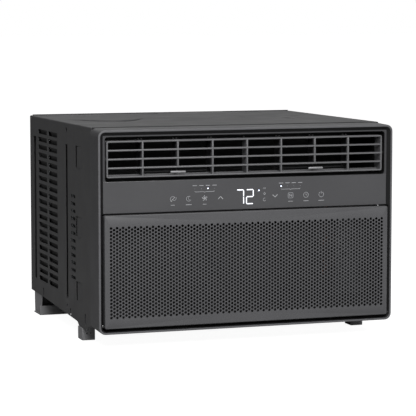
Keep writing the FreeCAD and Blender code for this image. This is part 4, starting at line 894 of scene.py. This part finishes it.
def make_master_vane(side):
    name = "vane_left_master" if side < 0 else "vane_right_master"
    low, high = span(name)
    x = (low.x + high.x) / 2
    foot, head = grid_low.z + 4.5, grid_high.z - 4.5
    profile = ((VANE_FRONT, foot + 2), (VANE_FRONT + 2, foot), (NOTCH[0], foot), NOTCH, (VANE_BACK, NOTCH[1]),
               (VANE_BACK, head - 3), (VANE_BACK - 3, head), (VANE_FRONT + 2, head), (VANE_FRONT, head - 2))
    shape = Shape()
    shape.loft([[Vector((x + out, CREST + deep, z)) for deep, z in profile] for out in (-0.8, 0.8)],
               caps=True)
    for start, end in ((low.z, foot + 0.4), (head - 0.4, high.z)):
        shape.rod((x, CREST + PIVOT_DEEP, start), (x, CREST + PIVOT_DEEP, end), 1.2)
    shape.rod((x, CREST + LINK_DEEP, NOTCH[1] - 2.6), (x, CREST + LINK_DEEP, NOTCH[1] + 0.4), 1.0)
    shape.slab((x - BAR / 2, CREST + 9.8, PADDLE_LOW - 0.6),
               (x + BAR / 2, CREST + VANE_FRONT + 1, PADDLE_LOW + 3.6), 0.5)
    # The paddle is painted light grey: a painted highlight.
    shape.slab((x - 12.5, CREST + 5.0, PADDLE_LOW), (x + 12.5, CREST + 10.0, PADDLE_LOW + 3.0), 0.9, axis=0,
               corner=1.2, slot=1)
    vane = shape.make("paddle_vane_left" if side < 0 else "paddle_vane_right", abs_vane, tips_painted_highlight)
    return settle(vane, name, "louvre_plastic", name)


for vane_side in (-1, 1):
    make_master_vane(vane_side)

# %% [markdown]
# ## The cabinet
# One steel sheet folded over the top and down both sides. Each side is a flat outline with its cut-outs,
# filled by **punched_sheet**. The louvres and the small vents are grids, so **rows_of_openings** makes
# them. Behind every louvre a flap is pressed inwards: **rows_of_copies** repeats one flap. The flaps
# are painted near black: painted shade inside the openings.

# %% Cabinet
STEEL = 1.2
FOLD = 2.0
CASE_TOP = bezel_high.z
CASE_FALL = 1.7
CASE_SIDE = case_high.x
CASE_FRONT = case_low.y - CREST
CASE_BACK = case_high.y - CREST
LOUVRE = (60, 8)
VENT = (28, 5.5)
LOUVRE_GRID = (2, 20, 69.5, 13.5, 296, 67.5)
VENT_GRID = (1, 12, 0.01, 12.2, 165, 96.75)
CURTAIN_SLOTS = ((280, 315), (167, 200), (62, 93))


def box_loop(x0, x1, z0, z1, radius=0.8):
    return rounded(x0, x1, z0, z1, radius, 2)


def top_at(depth):
    """Height of the top sheet, which falls gently towards the rear so that rain runs off."""
    return CASE_TOP - CASE_FALL * (depth - CASE_FRONT) / (CASE_BACK - CASE_FRONT)


def soft_step(depth, run, height, rise, steps):
    """Points of a soft step in an edge, from one height to another over a run."""
    return [(depth + run * step / steps, height + rise * (1 - math.cos(math.pi * step / steps)) / 2)
            for step in range(1, steps + 1)]


def lower_edge():
    """The side's lower edge from the front to the rear, with the curved lug over the foot."""
    return [(CASE_FRONT, 30.2), (72, 28.6), *soft_step(72, 8, 28.6, -7.1, 4),
            (131, 21.5), *soft_step(131, 14, 21.5, 5.8, 5),
            (209, 30), (360, 36), (CASE_BACK, 38)]


def onto_side(side, across):
    """Stands a flat sheet up on one side of the cabinet, at a distance from the middle."""
    place = side * across * MM
    return lambda co: Vector((place - side * co.z, CREST * MM + co.x, co.y))


def side_sheet(side):
    """One punched side; depth runs along the sheet's first axis, height along its second."""
    outline = lower_edge() + [(CASE_BACK, top_at(CASE_BACK) - FOLD), (CASE_FRONT, CASE_TOP - FOLD)]
    loops = [outline, box_loop(412, 429, 63, 314), box_loop(199, 212, 57, 313.5),
             box_loop(182.5, 190, 31, 42), box_loop(89, 97, 26, 46), box_loop(363, 371, 38, 52),
             arc(205, 338, 4, 0, 360 - 22.5, 15), arc(205, 45, 2.5, 0, 360 - 36, 9)]
    loops += [box_loop(132, 149, low, high, 0.6) for low, high in CURTAIN_SLOTS]
    steps = [openings(*LOUVRE, 1.0, *LOUVRE_GRID, points=2), openings(*VENT, 0.8, *VENT_GRID, points=2),
             sheet(powder_dark, STEEL)]
    return grow(outlines(*loops), steps, onto_side(side, CASE_SIDE))


def flap_mesh(long):
    """One louvre flap: a thin blade that leans inwards and down from the top of its opening."""
    shape = Shape()
    profile = ((0.0, 4.2), (1.0, 3.9), (2.7, 1.6), (3.7, -1.6), (4.0, -4.9),
               (3.6, -5.0), (3.2, -1.7), (2.2, 1.3), (0.8, 3.4), (0.0, 3.6))
    rings = [[Vector((end, height, inward)) for inward, height in profile]
             for end in (-long / 2 + 0.4, long / 2 - 0.4)]
    shape.loft(rings, caps=True)
    # The flap is painted near black: painted shade inside its opening.
    return shape.mesh("flap", near_black_painted_shade)


def flap_rows(side):
    """The flaps behind one side's louvres and vents."""
    turn = onto_side(side, CASE_SIDE - STEEL)
    return [grow(flap_mesh(size[0]), [copies(near_black_painted_shade, *grid)], turn)
            for size, grid in ((LOUVRE, LOUVRE_GRID), (VENT, VENT_GRID))]


JOINT_WIDE = 7.0
WEDGE = (-17, 110)
PAD_COLUMNS = 20
# A profile is (distance behind the pad's front line, height) from the front to the rear of a pad.
CRISP = ((-30, 0), (-16, -1.1), (-2, -2.3), (0, -2.2), (1.5, 0.0), (3.5, 0.7), (30, 0.7))
SOFT = ((-30, 0), (-14, -1.2), (0, -2.2), (4, -1.9), (30, 0.0), (42, 0.7), (60, 0.7))
# left, right, front, back, bow, profile
PADS = ((-222, -88, 292, 404, -62, CRISP), (-84, 56, 318, 404, -72, SOFT), (80, 208, 306, 404, -52, SOFT))


def pad_grid(left, right, front, back, bow, profile):
    """Rows of points over a pressed pad, seen from above, with heights that fade out at both ends."""
    rows = []
    for distance, height in profile + ((None, 0),):
        row = []
        for step in range(PAD_COLUMNS + 1):
            across = -1 + 2 * step / PAD_COLUMNS
            fade = 1 - across ** 4
            depth = back if distance is None else front + bow * (1 - across * across) + distance * fade
            depth = min(depth, back - 0.02 * (len(profile) - len(rows)))
            x = (left + right) / 2 + across * (right - left) / 2
            row.append(Vector((x, CREST + depth, top_at(depth) + height * fade)))
        rows.append(row)
    return rows


def pressed_pad(shape, pad):
    """A pad as a closed skin, one sheet thick."""
    rows = pad_grid(*pad)
    wide = PAD_COLUMNS + 1
    tops = [point for row in rows for point in row]
    faces = []
    for row in range(len(rows) - 1):
        for step in range(PAD_COLUMNS):
            at = row * wide + step
            faces.append((at, at + 1, at + wide + 1, at + wide))
    count = len(tops)
    under = [tuple(count + index for index in face[::-1]) for face in faces]
    border = list(range(wide))
    border += [row * wide + PAD_COLUMNS for row in range(1, len(rows))]
    border += [(len(rows) - 1) * wide + step for step in range(PAD_COLUMNS - 1, -1, -1)]
    border += [row * wide for row in range(len(rows) - 2, 0, -1)]
    sides = [(after, here, count + here, count + after)
             for here, after in zip(border, border[1:] + border[:1])]
    shape.add(tops + [point - Vector((0, 0, STEEL)) for point in tops], faces + under + sides)


def pad_outline(pad):
    """The hole that a pad fills in the flat sheet: its front row, then its rear row backwards."""
    rows = pad_grid(*pad)
    return [(point.x, point.y - CREST) for point in rows[0] + rows[-1][::-1]]


def top_sheet():
    """The top, with three pressed pads that stiffen it, a rear lip and the folds down to both sides."""
    reach = CASE_SIDE - FOLD
    start = CASE_FRONT + JOINT_WIDE
    outline = [(-reach, start), (reach, start), (reach, CASE_BACK), (-reach, CASE_BACK)]
    pads = [pad_outline(pad) for pad in PADS]
    holes = [arc(x, 190, 2.5, 0, 330, 11) for x in (-150, 150)]
    plate = grow(outlines(outline, *pads, *holes), [sheet(powder_dark, STEEL)],
                 lambda co: Vector((co.x, CREST * MM + co.y, top_at(co.y / MM) * MM - co.z)))
    shape = Shape()
    for pad in PADS:
        pressed_pad(shape, pad)
    rear = top_at(CASE_BACK)
    for low, high in ((8 - HALF, WEDGE[0]), (WEDGE[1], HALF - 8)):
        shape.slab((low, CREST + CASE_BACK - STEEL, rear - 1), (high, CREST + CASE_BACK, rear + 1.6), 0.2,
                   axis=0)
    wedge = ((CASE_BACK - 36, rear - 0.1), (CASE_BACK - 8, rear + 1.2), (CASE_BACK - 0.4, rear + 1.6),
             (CASE_BACK, rear + 1.2), (CASE_BACK, rear - 1))
    shape.loft([[Vector((x, CREST + deep, z)) for deep, z in wedge] for x in WEDGE], caps=True)
    # A near-black strip along the top's front edge: a painted shadow of the gap behind the bezel.
    shape.slab((-reach, CREST + CASE_FRONT - 0.3, CASE_TOP - 2.6),
               (reach, CREST + start + 0.1, CASE_TOP - 0.25), 0.1, axis=0, slot=1)
    for side in (-1, 1):
        rings = []
        for depth in (CASE_FRONT, CASE_BACK):
            floor = top_at(depth)
            outer = [(CASE_SIDE - FOLD + FOLD * math.sin(math.radians(a)),
                      floor - FOLD + FOLD * math.cos(math.radians(a))) for a in (0, 22, 45, 68, 90)]
            inner = [(CASE_SIDE - FOLD + (FOLD - STEEL) * math.sin(math.radians(a)),
                      floor - FOLD + (FOLD - STEEL) * math.cos(math.radians(a))) for a in (90, 45, 0)]
            rings.append([Vector((side * x, CREST + depth, z)) for x, z in outer + inner])
        shape.loft(rings, caps=True)
    return [plate, shape.mesh("folds", powder_dark, near_black_painted_shade)]


def lanced_tabs(side):
    """Tongues bent out at the three slots that hold the curtain frame."""
    shape = Shape()
    for low, high in CURTAIN_SLOTS:
        rings = []
        for depth, out in ((106, -0.3), (113, 0.4), (124, 1.6), (132, 2.0)):
            front = side * (CASE_SIDE + out)
            back = side * (CASE_SIDE + out - STEEL)
            rings.append([Vector((x, CREST + depth, z)) for x, z in (
                (front, low + 0.8), (front, high - 0.8), (back, high - 0.8), (back, low + 0.8))])
        shape.loft(rings, caps=True)
    return shape.mesh("tabs", powder_dark)


def make_cabinet():
    meshes = top_sheet()
    for side in (-1, 1):
        meshes += [side_sheet(side), lanced_tabs(side)] + flap_rows(side)
    cabinet = join_meshes("folded_cabinet", meshes, smooth=30)
    return settle(cabinet, "chassis", "cabinet_paint", "cabinet_shell")


make_cabinet()

# %% [markdown]
# ## Feet and rail
# Folded steel under the pan: a block at each front corner, with two rivets in its face, and a channel
# across the rear whose end plates widen towards the top.

# %% Feet and rail


def make_foot(side):
    name = "front_foot_left" if side < 0 else "front_foot_right"
    low, high = span(name)
    shape = Shape()
    shape.slab(low, (high.x, high.y, 20.8), 0.8, axis=2, corner=1.2)
    left, right = (low.x + 2.1, high.x) if side < 0 else (low.x, high.x - 2.1)
    shape.slab((left, low.y + 0.3, 20.0), (right, high.y - 0.3, high.z), 0.5, axis=2)
    for share in (0.35, 0.65):
        across = low.x + (high.x - low.x) * share
        shape.rod((across, low.y + 0.6, 11.5), (across, low.y - 0.5, 11.5), 1.1, 12, slot=1)
    # The foot's lighter grey is partly painted light.
    thing = shape.make("steel_foot_" + ("left" if side < 0 else "right"), feet_paint_and_painted_light, abs_black)
    return settle(thing, "chassis", "foot_paint", name)


def make_rail():
    low, high = span("rear_rail")
    shape = Shape()
    lip = 16.5
    steel = 2.0
    end = 245.2
    shape.slab((low.x, low.y, 0), (high.x, low.y + steel, lip), 0.5, axis=0)
    shape.slab((low.x, low.y + 0.3, 0), (high.x, high.y, steel), 0.5, axis=0)
    shape.slab((low.x + 3, high.y - steel, 0.3), (high.x - 3, high.y, high.z), 0.5, axis=0)
    profile = ((low.y - 6, high.z), (high.y + 2, high.z), (high.y, 3), (high.y - 3, 0.2),
               (low.y + 1, 0.2), (low.y + 1, lip + 2))
    for side in (-1, 1):
        rings = [[Vector((side * x, y, z)) for y, z in profile] for x in (end, end - steel)]
        shape.loft(rings, caps=True)
        left, right = sorted((side * end, side * (end - 20)))
        shape.slab((left, low.y, high.z - steel), (right, high.y, high.z), 0.4)
    # The rail shares the feet's grey, partly painted light.
    return settle(shape.make("steel_rail", feet_paint_and_painted_light), "chassis", "foot_paint", "rear_rail")


for foot_side in (-1, 1):
    make_foot(foot_side)
make_rail()

# %% [markdown]
# ## Coils
# A coil is hundreds of thin fins on bent tubes between two end plates. One fin is repeated across the
# coil. Fins are drawn at 2 mm pitch, a little wider than real, so that they still show. The outdoor
# coil's bends are painted black: painted shade, where they lie behind the side louvres.

# %% Coils
FIN_PITCH = 2.0
FIN = 0.25
END_PLATE = 1.5
TUBE = 4.4
BEND = 12.5


def make_coil(name, node_name, slot, tube):
    low, high = span(node_name)
    bend = 17.0
    left, right = low.x + bend, high.x - bend
    blade = Shape()
    blade.slab((-FIN / 2, 0, low.y), (FIN / 2, high.z - low.z, high.y), 0.04, axis=0)
    fin = blade.mesh("fin", fin_metal)
    count = int((right - left - 4) / FIN_PITCH)
    fins = grow(fin, [copies(fin_metal, count, 1, FIN_PITCH, 0.01, left + 2 + FIN_PITCH / 2, low.z)],
                stand_up)
    shape = Shape()
    middle = (low.y + high.y) / 2
    for x in (left, right - END_PLATE):
        shape.slab((x, low.y, low.z), (x + END_PLATE, high.y, high.z), 0.3, axis=0)
    rows = int((high.z - low.z - 20) // 25) // 2
    for index in range(rows):
        for side, x in ((-1, left), (1, right)):
            centre = low.z + 12 + (index if side < 0 else index + 0.5) * 4 * BEND + BEND
            rings = []
            for step in range(9):
                turn = math.radians(-90 + 180 * step / 8)
                spot = Vector((x + side * BEND * math.cos(turn), middle, centre + BEND * math.sin(turn)))
                outward = Vector((side * math.cos(turn), 0, math.sin(turn)))
                rings.append([spot + TUBE * (outward * math.cos(math.tau * k / 10)
                                             + Vector((0, 1, 0)) * math.sin(math.tau * k / 10))
                              for k in range(10)])
            shape.loft(rings, caps=True, slot=1)
    coil = join_meshes(name, [fins, shape.mesh("coil_trim", zinc, tube)])
    return settle(coil, "chassis", slot, node_name)


make_coil("finned_evaporator", "evaporator_coil", "coil_aluminium", copper)
# The condenser's bends are painted black: painted shade behind the side louvres.
make_coil("finned_condenser", "condenser_coil", "coil_aluminium", enamel_and_painted_shade)

# %% [markdown]
# ## The filter
# A nylon net in a moulded frame. The net is two sets of threads, one set copied across and one up.

# %% Filter net


def make_net():
    low, high = span("filter_mesh")
    pitch = 2.4
    thread = 0.8
    meshes = []
    across = Shape()
    across.slab((low.x, -thread / 2, low.y), (high.x, thread / 2, low.y + 0.4), 0.05, axis=0)
    upright = Shape()
    upright.slab((-thread / 2, 0, low.y + 0.4), (thread / 2, high.z - low.z, high.y), 0.05, axis=1)
    for shape, columns, rows, first_across, first_up in (
            (across, 1, int((high.z - low.z) / pitch), 0, low.z + pitch / 2),
            (upright, int((high.x - low.x) / pitch), 1, low.x + pitch / 2, low.z)):
        steps = [copies(netting, columns, rows, pitch, pitch, first_across, first_up)]
        meshes.append(grow(shape.mesh("thread", netting), steps, stand_up))
    return settle(join_meshes("filter_net", meshes), "air_filter", "filter_mesh", "filter_mesh")


make_net()

# %% [markdown]
# ## Finishes for the pieces that keep their CAD shape
# The inner pieces are right as they are, so they only get their finish.

# %% Carried-over pieces
KEPT = {
    abs_black: ("outlet_duct",),
    abs_vane: ("vane_left_outer", "vane_left_inner", "vane_right_outer", "vane_right_inner",
               "vane_link_left", "vane_link_right"),
    polypropylene: ("filter_guides", "filter_frame", "scroll_cover", "blower_wheel", "condenser_fan",
                    "fan_shroud", "terminal_cover", "display_board"),
    powder_dark: ("base_pan", "rear_panel"),
    foam: ("scroll_housing",),
    # The tray's near black is painted shade.
    tray_painted_shade: ("drip_tray",),
    zinc: ("bulkhead", "motor_bracket", "control_box", "control_box_lid"),
    enamel_and_painted_shade: ("fan_motor", "compressor", "accumulator"),
    bright_steel: ("motor_shaft", "compressor_studs", "rear_screws", "run_capacitor"),
    copper: ("suction_pipe", "intake_pipe", "discharge_pipe", "liquid_pipe", "capillary_tube",
             "filter_drier", "thermistor"),
    rubber: ("duct_seal", "compressor_grommets", "cord_gland"),
    laminate: ("main_board",),
    wire_coat: ("coil_guard",),
}
for finish, names in KEPT.items():
    for name in names:
        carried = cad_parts[name].data
        carried.materials.clear()
        carried.materials.append(finish)

# %% [markdown]
# ## Floor and light
# A pale floor and a white surround. A broad light stands high in front and models the bezel and the
# grille, a weak one hangs overhead, and a low one behind puts a sheen on the top. The floor and the
# surround are white to the camera only: they light the object dimly, and shadows hardly show.

# %% Floor and light
floor_mesh = bpy.data.meshes.new("floor")
floor_mesh.from_pydata([(-30, -30, 0), (30, -30, 0), (30, 30, 0), (-30, 30, 0)], [], [(0, 1, 2, 3)])
floor = bpy.data.objects.new("floor", floor_mesh)
bpy.context.collection.objects.link(floor)
paper, paper_tree, paper_shader = shader_of("matt_white_paper", "#a8a8a8", 0.9,
                                            Emission_Color=linear("#ffffff"))
direct = node(paper_tree, "ShaderNodeLightPath").outputs["Is Camera Ray"]
glow = node(paper_tree, "ShaderNodeMath", {0: direct, 1: 0.95}, operation="MULTIPLY")
paper_tree.links.new(glow.outputs[0], paper_shader.inputs["Emission Strength"])
floor_mesh.materials.append(paper)


def area_light(name, place, target, size, power):
    light = bpy.data.lights.new(name, "AREA")
    light.shape = "RECTANGLE"
    light.size, light.size_y = size
    light.energy = power
    holder = bpy.data.objects.new(name, light)
    holder.location = place
    holder.rotation_euler = (Vector(target) - Vector(place)).to_track_quat("-Z", "Y").to_euler()
    bpy.context.collection.objects.link(holder)


area_light("front_box", (-0.4, -2.6, 1.8), (0, -0.1, 0.2), (2.4, 1.4), 92)
area_light("overhead", (0, 0.2, 2.6), (0, 0, 0.2), (2.4, 2.4), 10)
area_light("rear_box", (0.8, 2.4, 1.5), (0, 0.1, 0.35), (2.6, 1.0), 5.5)

world = bpy.data.worlds.new("surround")
bpy.context.scene.world = world
world.use_nodes = True
sky = world.node_tree
sky.nodes.clear()
seen = node(sky, "ShaderNodeLightPath").outputs["Is Camera Ray"]
strength = node(sky, "ShaderNodeMapRange", {"Value": seen, "To Min": 0.2, "To Max": 1.0})
background = node(sky, "ShaderNodeBackground", {"Color": (1, 1, 1, 1), "Strength": strength.outputs[0]})
node(sky, "ShaderNodeOutputWorld", {"Surface": background.outputs[0]})
bpy.context.scene.view_settings.view_transform = "Standard"
